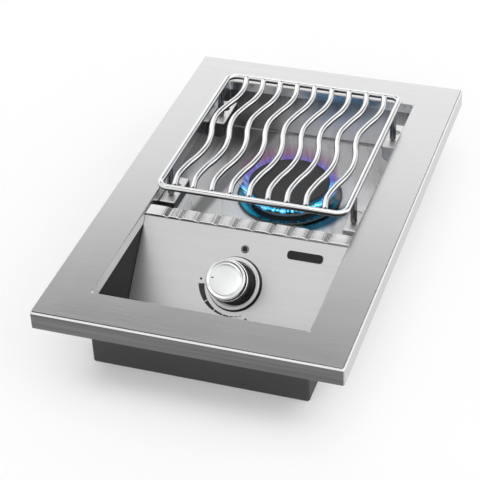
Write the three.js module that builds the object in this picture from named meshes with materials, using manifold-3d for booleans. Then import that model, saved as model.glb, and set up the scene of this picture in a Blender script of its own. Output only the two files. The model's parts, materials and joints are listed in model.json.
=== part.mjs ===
// A built-in side burner for an outdoor kitchen, as an assembly of separate pieces.
// Units are millimetres, +Z is up, -Y is the side with the control knob.
// The origin is under the middle of the unit, level with the underside of its casing.

import * as THREE from 'three';
import { mergeVertices } from 'three/addons/utils/BufferGeometryUtils.js';
import Module from 'manifold-3d';

const wasm = await Module();
wasm.setup();

// Overall sizes
const unitWidth = 368;
const unitDepth = 597.6;
const unitHeight = 94;
const sideBorderWidth = 55;
const endBorderWidth = 53.9;

// Clearances
const fitGap = 0.3;
const runningGap = 0.5;
const cutOverrun = 4;

// Top frame, folded from one sheet
const frameSheet = 1.2;
const frameCornerRadius = 3;
const frameBendRadius = 2.4;
const skirtDrop = 22;
const hemWidth = 9;
const lipDrop = 13.5;
const lipBendRadius = 2;
const openingCornerRadius = 5;

// Casing under the frame
const casingSheet = 1.2;
const casingEndReach = 12.5;
const casingCornerRadius = 3.4;
const casingBendRadius = 2.6;
const casingFlangeWidth = 12;
const ventSlotLength = 46;
const ventSlotWidth = 5;
const ventSlotPitch = 16;
const ventSlotCount = 4;
const ventSlotSetback = 26;

// Burner bowl
const bowlSheet = 1;
const bowlFloorShare = 0.2234;
const bowlFrontShare = 0.12354;
const bowlCornerRadius = 4;

// Vent strip between the bowl and the control panel
const stripDrop = 2.7;
const stripHeight = 3.2;
const stripRun = 19.3;
const stripBackOverhang = 1.8;
const stripSheet = 1;
const grooveCount = 9;
const groovePitchShare = 0.08915;
const grooveWidth = 7.4;
const grooveDepth = 1.8;
const grooveSideShare = 0.03256;
const endGrooveShare = 0.0651;

// Sloping control panel and the trough before it
const panelSheet = 1.2;
const panelSlope = THREE.MathUtils.degToRad(46);
const panelNoseStep = 0.6;
const troughSheet = 1;
const troughFloorShare = 0.1255;
const panelFootTuck = 8;

// Grate of bent rods
const frameRodDiameter = 8;
const waveRodDiameter = 7.6;
const legDiameter = 8.2;
const grateSideGap = 7;
const grateFrontReach = 1.8;
const grateBackGap = 23.9;
const grateCornerRadius = 17;
const grateRise = 25.2;
const waveRodCount = 9;
const waveRodPitchShare = 0.09725;
const waveHeight = 7;
const waveSideShares = [
  -0.41, -0.99, -0.55, 0.38, 0.76, 0.35, -0.61, -0.95, -0.24, 0.78, 0.99, 0.29,
];
const legSetback = 44.25;
const legBackShift = 0.55;
const legFootRounding = 2;

// Brackets that carry the grate's legs
const bracketSheet = 1.2;
const bracketDrop = 14;
const bracketWidth = 21;
const bracketLength = 56;
const bracketSetback = 45.5;
const bracketFrontReach = 18.1;
const bracketTongueDrop = 22.5;
const bracketTongueRounding = 8;
const bracketSideDrop = 15;
const bracketBendRadius = 1.6;
const bracketHoleDiameter = 12;
const bracketHoleSetback = 36;

// Burner
const burnerPlaceShare = 0.52366;
const baseDiameter = 137.6;
const basePlate = 1.6;
const baseRimWidth = 4.4;
const baseRimHeight = 3.4;
const baseHubHeight = 3.4;
const baseHubWall = 3;
const crownDiameter = 101.6;
const crownWall = 4.5;
const crownHeight = 17;
const crownFootHeight = 2.4;
const crownFootReach = 2;
const crownLandWidth = 7;
const mainPortCount = 14;
const mainPortDiameter = 4.6;
const smallPortDiameter = 2.2;
const mainPortTurn = THREE.MathUtils.degToRad(-5);
const mainPortDrop = 6.4;
const smallPortDrop = 3.4;
const capDiameter = 106;
const capThickness = 3.6;
const capEdgeRounding = 1.2;
const capDish = 0.8;
const capSpigotDepth = 3;
const capSpigotWall = 3;

// Mixing tube under the bowl
const tubeSideRoom = 1.9;
const tubeMouthFlare = 1.5;
const tubeWall = 1.6;
const tubeMouthLength = 14;
const tubeThroatShare = 0.8;
const tubeFlareLength = 46;
const tubeFrontReach = 19.5;
const neckDiameter = 26;
const neckWall = 2;
const neckRise = 7;
const neckFoot = 1.2;
const shutterWall = 1.2;
const shutterLength = 9;
const shutterWindowLength = 5;
const shutterWindowWidth = 8;

// Igniter beside the crown
const igniterAngle = THREE.MathUtils.degToRad(-6);
const igniterRadius = 57;
const ceramicDiameter = 5.4;
const ceramicHeight = 9;
const electrodeDiameter = 2;
const electrodeRise = 4;
const electrodeReach = 2.6;

// Control knob, measured along its shaft from the face of the panel
const knobHeight = 45;
const knobSideGap = 1.5;
const knobFaceStep = 1.8;
const knobCapHeight = 6.4;
const knobRimWidth = 3;
const knobRimRounding = 1.4;
const knobFaceDish = 1.4;
const knobGrooveDepth = 1.6;
const knobGrooveHeight = 1.6;
const knobRingStep = 0.7;
const knobRingHeight = 2.4;
const knobRingWall = 3.4;
const gripTopStep = 2.5;
const gripWaistStep = 3.25;
const gripSkirtHeight = 8;
const gripLift = 5;
const gripWall = 2.6;
const gripRoof = 3;
const gripHubDiameter = 15;
const gripHubLift = 7.5;

// Bezel round the knob
const bezelDiameter = 63.6;
const bezelRimWidth = 4.3;
const bezelFootShare = 0.1978;
const bezelHeight = 8;
const bezelFaceHeight = 1.8;
const bezelFaceSlope = 0.9;
const bezelBaseInset = 0.4;
const bezelBaseWall = 2.6;

// Gas valve behind the panel
const stemDiameter = 8;
const stemFlat = 1.6;
const stemInsideReach = 20;
const stemTopMargin = 4;
const collarDiameter = 15;
const collarThickness = 1.4;
const collarLift = 5.8;
const pushTravel = 2.5;
const valveDiameter = 24;
const valveLength = 31;
const valveFlangeLength = 42;
const valveFlangeWidth = 24;
const valveFlangeThickness = 3;
const valveFlangeRounding = 6;
const valveScrewSpacing = 30;
const screwShankDiameter = 4;
const screwHeadDiameter = 7.4;
const screwHeadHeight = 2.2;
const panelStemHoleDiameter = 13;
const sparkBoxLength = 24;
const sparkBoxWidth = 16;
const sparkBoxDepth = 18;

// Orifice between the valve and the mixing tube
const orificeSideRoom = 1.9;
const orificeBendShare = 0.3936;
const orificeEntry = 1.33;
const orificeNutWidth = 11;
const orificeNutLength = 5;
const orificeNutSetback = 3.4;
const orificeBore = 1.6;

// Gas inlet
const inletDiameter = 9;
const inletBore = 5;
const inletReach = 24;
const inletBendRadius = 10;
const inletNutWidth = 17;
const inletNutLength = 9;
const inletFloorGap = 5;
const accessHoleDiameter = 34;

// Small pieces on the panel
const indicatorDownShare = 0.5188;
const indicatorSide = 4;
const indicatorDiameter = 10;
const indicatorHoleDiameter = 5.4;
const indicatorHeight = 1.4;
const lensRise = 0.7;
const lensTail = 4;
const badgeDownShare = 0.466;
const badgeEdgeGap = 28.1;
const badgeWidth = 44;
const badgeHeight = 10.4;
const badgeThickness = 1;
const badgeCornerRadius = 4;

// Numbers of facets
const cornerSteps = 4;
const bendSteps = 3;
const grooveSteps = 4;
const slotSteps = 2;
const roundSides = 28;
const crownSides = 42;
const smallSides = 12;
const portSides = 6;
const pipeSides = 10;
const pipeSteps = 12;
const frameRodSides = 12;
const frameRodCornerSteps = 6;
const waveRodSides = 8;
const waveRodSteps = 24;

// Levels and faces that several pieces share
const openingWidth = unitWidth - 2 * sideBorderWidth;
const openingDepth = unitDepth - 2 * endBorderWidth;
const frameUnderside = unitHeight - frameSheet;
const lipBottom = unitHeight - lipDrop;
const casingInnerX = openingWidth / 2 + frameSheet + fitGap;
const casingInnerY = openingDepth / 2 + casingEndReach - casingSheet;
const linerOuterX = casingInnerX - fitGap;
const linerOuterY = openingDepth / 2 + frameSheet;
const linerTop = lipBottom - fitGap;
const bowlFloor = unitHeight * bowlFloorShare;
const bowlFrontY = -openingDepth * bowlFrontShare;
const bowlInnerFrontY = bowlFrontY + bowlSheet;
const bowlInnerBackY = linerOuterY - bowlSheet;
const stripTop = unitHeight - stripDrop;
const stripBottom = stripTop - stripHeight;
const stripBackY = bowlInnerFrontY + stripBackOverhang;
const stripFrontY = stripBackY - stripRun;
const groovePitch = openingWidth * groovePitchShare;

// The sloping panel, and the places down its slope
const panelTop = new THREE.Vector2(stripFrontY - panelNoseStep, stripBottom - fitGap);
const panelHalfWidth = openingWidth / 2 - fitGap;
const troughFloor = unitHeight * troughFloorShare;
const panelDown = new THREE.Vector2(-Math.cos(panelSlope), -Math.sin(panelSlope));
const panelLength = (panelTop.y - troughFloor - fitGap) / Math.sin(panelSlope);
const panelSpare = panelLength - bezelDiameter;
const knobDown = panelLength - bezelDiameter / 2 - panelSpare * bezelFootShare;
const indicatorDown = panelSpare * indicatorDownShare;
const badgeDown = panelSpare * badgeDownShare;
const badgeSide = panelHalfWidth - badgeEdgeGap - badgeWidth / 2;

// The grate, its legs and their brackets
const bracketTop = unitHeight - bracketDrop;
const grateLevel = unitHeight + grateRise;
const grateWidth = openingWidth - 2 * grateSideGap;
const grateDepth = bowlInnerBackY - bowlInnerFrontY + grateFrontReach - grateBackGap;
const grateMiddleY = bowlInnerBackY - grateBackGap - grateDepth / 2;
const grateHalfX = (grateWidth - frameRodDiameter) / 2;
const grateHalfY = (grateDepth - frameRodDiameter) / 2;
const waveRodPitch = grateWidth * waveRodPitchShare;
const legMiddleY = grateMiddleY + legBackShift;
const legSpacing = grateDepth - 2 * legSetback;
const bracketSpacing = grateDepth - 2 * bracketSetback;

// The burner and its mixing tube
const burnerY = bowlInnerFrontY + (bowlInnerBackY - bowlInnerFrontY) * burnerPlaceShare;
const baseFloor = bowlFloor + fitGap;
const crownFloor = baseFloor + basePlate + fitGap;
const capFloor = crownFloor + crownHeight + fitGap;
const tubeLevel = (casingSheet + bowlFloor - bowlSheet) / 2;
const tubeFrontY = bowlFrontY - tubeFrontReach;
const tubeMouthDiameter = bowlFloor - bowlSheet - casingSheet - 2 * tubeSideRoom;
const tubeBore = tubeMouthDiameter - 2 * tubeMouthFlare;
const orificeDiameter = tubeMouthDiameter - 2 * (tubeWall + orificeSideRoom);

// The knob, inside its bezel
const bezelInnerDiameter = bezelDiameter - 2 * bezelRimWidth;
const gripSkirtDiameter = bezelInnerDiameter - 2 * knobSideGap;
const gripWaistDiameter = gripSkirtDiameter - 2 * gripWaistStep;
const gripTopDiameter = gripSkirtDiameter - 2 * gripTopStep;
const knobRingDiameter = gripSkirtDiameter - 2 * knobRingStep;
const knobFaceDiameter = gripSkirtDiameter - 2 * knobFaceStep;

// Materials
const metal = (name, color, roughness, metalness) => {
  const material = new THREE.MeshStandardMaterial({ color, roughness, metalness });
  material.name = name;
  return material;
};
const satinSteel = metal('satin_steel', 0xc9c9c9, 0.32, 1);
const polishedSteel = metal('polished_steel', 0xd2d2d2, 0.16, 1);
const chrome = metal('chrome', 0xf0f0f0, 0.08, 1);
const greyPaint = metal('grey_paint', 0x3a3a3c, 0.55, 0);
const blackEnamel = metal('black_enamel', 0x1c1c1d, 0.6, 0);
const blackPlastic = metal('black_plastic', 0x0e0e0f, 0.3, 0);
const castIron = metal('cast_iron', 0x343435, 0.7, 0.2);
const castAluminium = metal('cast_aluminium', 0xa9a9a8, 0.45, 1);
const brass = metal('brass', 0xb8923f, 0.35, 1);
const ceramic = metal('ceramic', 0xe9e4da, 0.4, 0);
const greyPlastic = metal('grey_plastic', 0x77777a, 0.4, 0);

// Solids
function solidOf(geometry) {
  const bare = geometry.clone();
  bare.deleteAttribute('normal');
  bare.deleteAttribute('uv');
  const merged = mergeVertices(bare);
  const corners = Array.from(merged.index.array);
  const triangles = [];
  for (let i = 0; i < corners.length; i += 3) {
    const [a, b, c] = corners.slice(i, i + 3);
    if (a !== b && b !== c && c !== a) triangles.push(a, b, c);
  }
  const mesh = new wasm.Mesh({
    numProp: 3,
    vertProperties: new Float32Array(merged.attributes.position.array),
    triVerts: new Uint32Array(triangles),
  });
  return new wasm.Manifold(mesh);
}

function geometryOf(solid) {
  const mesh = solid.getMesh();
  const geometry = new THREE.BufferGeometry();
  geometry.setAttribute('position', new THREE.BufferAttribute(mesh.vertProperties, 3));
  geometry.setIndex(new THREE.BufferAttribute(mesh.triVerts, 1));
  geometry.computeVertexNormals();
  return geometry;
}

const join = (...solids) => solids.reduce((whole, solid) => whole.add(solid));
const cut = (whole, ...solids) => solids.reduce((left, solid) => left.subtract(solid), whole);

function boxSolid(low, high) {
  const size = new THREE.Vector3().subVectors(high, low);
  const geometry = new THREE.BoxGeometry(size.x, size.y, size.z);
  geometry.translate(...new THREE.Vector3().addVectors(low, high).divideScalar(2).toArray());
  return solidOf(geometry);
}

function latheSolid(points, sides = roundSides) {
  const profile = points.map(([radius, height]) => new THREE.Vector2(radius, height));
  const geometry = new THREE.LatheGeometry(profile, sides);
  geometry.rotateX(Math.PI / 2);
  return solidOf(geometry);
}

// A closed profile of a ring runs up its outside, so it ends where it started.
const ringSolid = (points, sides) => latheSolid([...points, points[0]], sides);

function cylinderSolid(radius, low, high, sides = smallSides) {
  return latheSolid([[0, low], [radius, low], [radius, high], [0, high]], sides);
}

function movedSolid(solid, matrix) {
  return solidOf(geometryOf(solid).applyMatrix4(matrix));
}

const shiftBy = (x, y, z) => new THREE.Matrix4().makeTranslation(x, y, z);

// Outlines, counter-clockwise
function roundedOutline(halfX, halfY, radius, steps = cornerSteps) {
  const points = [];
  const corners = [[1, 1], [-1, 1], [-1, -1], [1, -1]];
  corners.forEach(([signX, signY], corner) => {
    for (let step = 0; step <= steps; step += 1) {
      const angle = ((corner + step / steps) * Math.PI) / 2;
      const x = signX * (halfX - radius) + radius * Math.cos(angle);
      const y = signY * (halfY - radius) + radius * Math.sin(angle);
      points.push(new THREE.Vector2(x, y));
    }
  });
  return points;
}

// A solid through a stack of outlines with equal numbers of points.
function loftSolid(sections) {
  const count = sections[0].outline.length;
  const positions = [];
  const triangles = [];
  sections.forEach(({ outline, height }) => {
    outline.forEach((point) => positions.push(point.x, point.y, height));
  });
  for (let level = 0; level < sections.length - 1; level += 1) {
    for (let i = 0; i < count; i += 1) {
      const a = level * count + i;
      const b = level * count + ((i + 1) % count);
      triangles.push(a, b, b + count, a, b + count, a + count);
    }
  }
  const caps = THREE.ShapeUtils.triangulateShape(sections[0].outline, []);
  const top = (sections.length - 1) * count;
  caps.forEach(([a, b, c]) => {
    triangles.push(c, b, a);
    triangles.push(top + a, top + b, top + c);
  });
  const geometry = new THREE.BufferGeometry();
  geometry.setAttribute('position', new THREE.Float32BufferAttribute(positions, 3));
  geometry.setIndex(triangles);
  return solidOf(geometry);
}

function prismSolid(outline, low, high) {
  return loftSolid([{ outline, height: low }, { outline, height: high }]);
}

// A block with rounded upright corners, and rounded edges round its top or its bottom.
function roundedBlock(half, cornerRadius, low, high, { topBend = 0, bottomBend = 0 } = {}) {
  const sections = [];
  const addLevel = (inset, height) => {
    const radius = Math.max(cornerRadius - inset, fitGap);
    sections.push({ outline: roundedOutline(half.x - inset, half.y - inset, radius), height });
  };
  for (let step = 0; step < bendSteps && bottomBend > 0; step += 1) {
    const angle = ((step / bendSteps) * Math.PI) / 2;
    addLevel(bottomBend * (1 - Math.sin(angle)), low + bottomBend * (1 - Math.cos(angle)));
  }
  addLevel(0, low + bottomBend);
  addLevel(0, high - topBend);
  for (let step = 1; step <= bendSteps && topBend > 0; step += 1) {
    const angle = ((step / bendSteps) * Math.PI) / 2;
    addLevel(topBend * (1 - Math.cos(angle)), high - topBend * (1 - Math.sin(angle)));
  }
  return loftSolid(sections);
}

// A strip of sheet whose edge line runs through points in the YZ plane.
// The sheet lies on the left of the line, and is as wide as the span in X.
function foldedSheet(points, thickness, left, right) {
  const inner = points.map((point, i) => {
    const before = new THREE.Vector2().subVectors(point, points[Math.max(i - 1, 0)]);
    const after = new THREE.Vector2().subVectors(points[Math.min(i + 1, points.length - 1)], point);
    const first = (i > 0 ? before : after).normalize();
    const second = (i < points.length - 1 ? after : before).normalize();
    const across = new THREE.Vector2(-first.y - second.y, first.x + second.x);
    const reach = thickness / (1 + first.dot(second));
    return point.clone().addScaledVector(across, reach);
  });
  return sheetPrism([...points, ...inner.reverse()], left, right);
}

// A solid whose outline lies in the YZ plane and which spans from left to right in X.
function sheetPrism(outline, left, right) {
  const shape = new THREE.Shape(outline);
  const geometry = new THREE.ExtrudeGeometry(shape, { depth: right - left, bevelEnabled: false });
  const turned = new THREE.Matrix4().makeBasis(
    new THREE.Vector3(0, 1, 0),
    new THREE.Vector3(0, 0, 1),
    new THREE.Vector3(1, 0, 0),
  );
  geometry.applyMatrix4(turned);
  geometry.translate(left, 0, 0);
  return solidOf(geometry);
}

// A round rod along an open curve.
function rodSolid(curve, radius, steps, sides) {
  const shape = new THREE.Shape();
  for (let i = 0; i < sides; i += 1) {
    const angle = ((i + 1 / 2) / sides) * 2 * Math.PI;
    const point = [radius * Math.cos(angle), radius * Math.sin(angle)];
    if (i === 0) shape.moveTo(...point);
    else shape.lineTo(...point);
  }
  shape.closePath();
  return solidOf(new THREE.ExtrudeGeometry(shape, { steps, extrudePath: curve, bevelEnabled: false }));
}

// A round rod bent into a closed level ring along an outline.
function closedRodSolid(outline, level, radius, sides) {
  const count = outline.length;
  const positions = [];
  const triangles = [];
  outline.forEach((point, i) => {
    const before = outline[(i + count - 1) % count];
    const after = outline[(i + 1) % count];
    const first = new THREE.Vector2().subVectors(point, before).normalize();
    const second = new THREE.Vector2().subVectors(after, point).normalize();
    const outward = new THREE.Vector2(first.y + second.y, -first.x - second.x);
    const stretch = 1 / (1 + first.dot(second));
    for (let side = 0; side < sides; side += 1) {
      const angle = (side / sides) * 2 * Math.PI;
      const reach = radius * Math.cos(angle) * stretch;
      positions.push(
        point.x + outward.x * reach,
        point.y + outward.y * reach,
        level + radius * Math.sin(angle),
      );
      const next = ((i + 1) % count) * sides;
      const up = (side + 1) % sides;
      const [a, b, c, d] = [i * sides + side, next + side, next + up, i * sides + up];
      triangles.push(a, b, c, a, c, d);
    }
  });
  const geometry = new THREE.BufferGeometry();
  geometry.setAttribute('position', new THREE.Float32BufferAttribute(positions, 3));
  geometry.setIndex(triangles);
  return solidOf(geometry);
}

const hexagonSides = 6;
const hexNut = (width, low, high) => cylinderSolid(width / Math.sqrt(3), low, high, hexagonSides);

// The assembly
const sideBurner = new THREE.Group();

function addPiece(name, solid, material, parent = sideBurner) {
  const piece = new THREE.Mesh(geometryOf(solid), material);
  piece.name = name;
  parent.add(piece);
  return piece;
}

// Top frame: flat border, skirt with a hem to stand on the worktop, and a lip round the opening
function topFrameSolid() {
  const outer = new THREE.Vector2(unitWidth / 2, unitDepth / 2);
  const inner = outer.clone().subScalar(frameSheet);
  const hem = outer.clone().subScalar(hemWidth);
  const opening = new THREE.Vector2(openingWidth / 2, openingDepth / 2);
  const lip = opening.clone().addScalar(frameSheet);
  const skirtBottom = unitHeight - skirtDrop;
  const shell = cut(
    roundedBlock(outer, frameCornerRadius, skirtBottom, unitHeight, { topBend: frameBendRadius }),
    roundedBlock(inner, frameCornerRadius - frameSheet, skirtBottom + frameSheet, frameUnderside, {
      topBend: frameBendRadius - frameSheet,
    }),
    roundedBlock(hem, frameCornerRadius, skirtBottom - cutOverrun, skirtBottom + frameSheet + fitGap),
  );
  const lipBlock = roundedBlock(
    lip,
    openingCornerRadius + frameSheet,
    lipBottom,
    frameUnderside + frameSheet / 2,
  );
  const openingSections = [
    { outline: roundedOutline(opening.x, opening.y, openingCornerRadius), height: -cutOverrun },
  ];
  for (let step = 0; step <= bendSteps; step += 1) {
    const angle = ((step / bendSteps) * Math.PI) / 2;
    const flare = lipBendRadius * (1 - Math.cos(angle));
    openingSections.push({
      outline: roundedOutline(opening.x + flare, opening.y + flare, openingCornerRadius + flare),
      height: unitHeight - lipBendRadius * (1 - Math.sin(angle)),
    });
  }
  const widest = openingSections[openingSections.length - 1].outline;
  openingSections.push({ outline: widest, height: unitHeight + cutOverrun });
  return cut(join(shell, lipBlock), loftSolid(openingSections));
}

// Casing: painted tub with a flange under the top frame
function casingSolid() {
  const inner = new THREE.Vector2(casingInnerX, casingInnerY);
  const outer = inner.clone().addScalar(casingSheet);
  const flange = outer.clone().addScalar(casingFlangeWidth);
  const top = frameUnderside - fitGap;
  const tub = roundedBlock(outer, casingCornerRadius, 0, top, { bottomBend: casingBendRadius });
  const rim = roundedBlock(flange, casingCornerRadius, top - casingSheet, top);
  const hollow = roundedBlock(
    inner,
    casingCornerRadius - casingSheet,
    casingSheet,
    top + cutOverrun,
    { bottomBend: casingBendRadius - casingSheet },
  );
  const access = cylinderSolid(accessHoleDiameter / 2, -cutOverrun, casingSheet + cutOverrun);
  const slots = [];
  for (let i = 0; i < ventSlotCount; i += 1) {
    const y = burnerY + (i - (ventSlotCount - 1) / 2) * ventSlotPitch;
    for (const side of [-1, 1]) {
      const x = side * (ventSlotSetback + ventSlotLength / 2);
      const radius = ventSlotWidth / 2 - fitGap;
      const outline = roundedOutline(ventSlotLength / 2, ventSlotWidth / 2, radius, slotSteps);
      const slot = prismSolid(outline, -cutOverrun, casingSheet + cutOverrun);
      slots.push(movedSolid(slot, shiftBy(x, y, 0)));
    }
  }
  return cut(join(tub, rim), hollow, movedSolid(access, shiftBy(inletX, inletY, 0)), ...slots);
}

// Burner bowl: polished tub whose front wall rises to carry the vent strip
function bowlSolid() {
  const middleY = (linerOuterY + bowlFrontY) / 2;
  const outer = new THREE.Vector2(linerOuterX, (linerOuterY - bowlFrontY) / 2);
  const inner = outer.clone().subScalar(bowlSheet);
  const riserTop = stripBottom - fitGap;
  const shift = shiftBy(0, middleY, 0);
  const tub = roundedBlock(outer, bowlCornerRadius, bowlFloor - bowlSheet, riserTop);
  const hollow = roundedBlock(inner, bowlCornerRadius - bowlSheet, bowlFloor, riserTop + cutOverrun);
  const behindRiser = boxSolid(
    new THREE.Vector3(-unitWidth, bowlInnerFrontY + fitGap, linerTop),
    new THREE.Vector3(unitWidth, unitDepth, unitHeight),
  );
  const besideRiser = [-1, 1].map((side) => {
    const middleX = side * (panelHalfWidth + cutOverrun);
    return boxSolid(
      new THREE.Vector3(middleX - cutOverrun, -unitDepth, linerTop),
      new THREE.Vector3(middleX + cutOverrun, unitDepth, unitHeight),
    );
  });
  const neckHole = cylinderSolid(neckDiameter / 2 + runningGap, 0, bowlFloor + cutOverrun);
  return cut(
    movedSolid(cut(tub, hollow), shift),
    behindRiser,
    ...besideRiser,
    movedSolid(neckHole, shiftBy(0, burnerY, 0)),
  );
}

// Vent strip: shallow channel with grooves pressed across its top
function ventStripSolid() {
  const halfWidth = openingWidth / 2 - fitGap;
  const sideShift = openingWidth * grooveSideShare;
  const endSpacing = openingWidth * endGrooveShare;
  const outline = (lowerBy, bottom) => {
    const points = [new THREE.Vector2(-halfWidth, bottom)];
    points.push(new THREE.Vector2(-halfWidth, stripTop - lowerBy));
    for (let i = -1; i < grooveCount; i += 1) {
      const even = sideShift + (i - (grooveCount - 1) / 2) * groovePitch;
      const x = i < 0 ? even + groovePitch - endSpacing : even;
      const half = grooveWidth / 2 + lowerBy / 2;
      for (let step = 0; step <= grooveSteps; step += 1) {
        const angle = (step / grooveSteps) * Math.PI;
        const level = stripTop - lowerBy - grooveDepth * Math.sin(angle);
        points.push(new THREE.Vector2(x - half * Math.cos(angle), level));
      }
    }
    points.push(new THREE.Vector2(halfWidth, stripTop - lowerBy));
    points.push(new THREE.Vector2(halfWidth, bottom));
    return points;
  };
  const bar = (points, front, back) => {
    const geometry = new THREE.ExtrudeGeometry(new THREE.Shape(points), {
      depth: back - front,
      bevelEnabled: false,
    });
    geometry.rotateX(Math.PI / 2);
    geometry.translate(0, back, 0);
    return solidOf(geometry);
  };
  const solidBar = bar(outline(0, stripBottom), stripFrontY, stripBackY);
  const under = bar(
    outline(stripSheet, stripBottom - cutOverrun),
    stripFrontY + stripSheet,
    stripBackY - stripSheet,
  );
  const ends = boxSolid(
    new THREE.Vector3(-halfWidth + stripSheet, stripFrontY - cutOverrun, stripBottom - cutOverrun),
    new THREE.Vector3(halfWidth - stripSheet, stripBackY + cutOverrun, stripTop + cutOverrun),
  );
  return cut(solidBar, under.intersect(ends));
}

// Where a point on the panel lies: how far down the slope, and how far to the side
const panelPoint = (down, side = 0) => {
  const y = panelTop.x + panelDown.x * down;
  const z = panelTop.y + panelDown.y * down;
  return new THREE.Vector3(side, y, z);
};

const panelMatrix = (down, side = 0) => {
  const point = panelPoint(down, side);
  return new THREE.Matrix4().makeRotationX(panelSlope).setPosition(point);
};

// Control panel: sloping sheet with a hem under the vent strip
function controlPanelSolid() {
  const foot = panelTop.clone().addScaledVector(panelDown, panelLength);
  const hemEnd = new THREE.Vector2(bowlFrontY - fitGap, panelTop.y);
  const run = [hemEnd, panelTop, foot];
  const sheet = foldedSheet(run, panelSheet, -panelHalfWidth, panelHalfWidth);
  const belowFoot = boxSolid(
    new THREE.Vector3(-unitWidth, -unitDepth, -cutOverrun),
    new THREE.Vector3(unitWidth, unitDepth, troughFloor + fitGap),
  );
  const through = -panelSheet - cutOverrun;
  const holes = [
    [panelStemHoleDiameter / 2, knobDown, 0],
    [screwShankDiameter / 2 + fitGap, knobDown, valveScrewSpacing / 2],
    [screwShankDiameter / 2 + fitGap, knobDown, -valveScrewSpacing / 2],
    [indicatorHoleDiameter / 2 + fitGap, indicatorDown, indicatorSide],
  ];
  const cutters = holes.map(([radius, down, side]) => {
    return movedSolid(cylinderSolid(radius, through, cutOverrun), panelMatrix(down, side));
  });
  return cut(sheet, belowFoot, ...cutters);
}

// Trough liner: floor, front wall and two side walls before the panel
function troughLinerSolid() {
  const foot = panelTop.clone().addScaledVector(panelDown, panelLength);
  const back = new THREE.Vector2(foot.x + panelFootTuck, troughFloor);
  const corner = new THREE.Vector2(-linerOuterY + troughSheet, troughFloor);
  const rim = new THREE.Vector2(-linerOuterY + troughSheet, linerTop);
  const fold = foldedSheet([rim, corner, back].reverse(), troughSheet, -linerOuterX, linerOuterX);
  const slopeTop = panelTop.clone().addScaledVector(
    panelDown,
    (panelTop.y - linerTop) / Math.sin(panelSlope),
  );
  const sideOutline = [
    new THREE.Vector2(-linerOuterY, troughFloor - troughSheet),
    new THREE.Vector2(back.x, troughFloor - troughSheet),
    new THREE.Vector2(back.x, troughFloor),
    new THREE.Vector2(slopeTop.x + panelFootTuck, linerTop),
    new THREE.Vector2(-linerOuterY, linerTop),
  ];
  const left = sheetPrism(sideOutline, -linerOuterX, -linerOuterX + troughSheet);
  const right = sheetPrism(sideOutline, linerOuterX - troughSheet, linerOuterX);
  return join(fold, left, right);
}

// Grate: closed frame rod, wave rods butted between its front and back, and four legs
function grateFrameSolid() {
  const radius = grateCornerRadius - frameRodDiameter / 2;
  const outline = roundedOutline(grateHalfX, grateHalfY, radius, frameRodCornerSteps);
  outline.forEach((point) => point.add(new THREE.Vector2(0, grateMiddleY)));
  return closedRodSolid(outline, grateLevel, frameRodDiameter / 2, frameRodSides);
}

function waveRodSolid(index) {
  const reach = grateHalfY - frameRodDiameter / 2 - fitGap;
  const middleX = (index - (waveRodCount - 1) / 2) * waveRodPitch;
  const last = waveSideShares.length - 1;
  const points = waveSideShares.map((share, i) => {
    const y = grateMiddleY + reach * ((2 * i) / last - 1);
    return new THREE.Vector3(middleX + share * waveHeight, y, grateLevel);
  });
  const curve = new THREE.CatmullRomCurve3(points);
  const rod = rodSolid(curve, waveRodDiameter / 2, waveRodSteps, waveRodSides);
  const between = boxSolid(
    new THREE.Vector3(-unitWidth, grateMiddleY - reach, 0),
    new THREE.Vector3(unitWidth, grateMiddleY + reach, 2 * grateLevel),
  );
  return rod.intersect(between);
}

function legSolid() {
  const radius = legDiameter / 2;
  const low = bracketTop + fitGap;
  const high = grateLevel - frameRodDiameter / 2 - fitGap;
  return latheSolid([
    [0, low],
    [radius - legFootRounding, low],
    [radius, low + legFootRounding],
    [radius, high],
    [0, high],
  ], smallSides);
}

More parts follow.
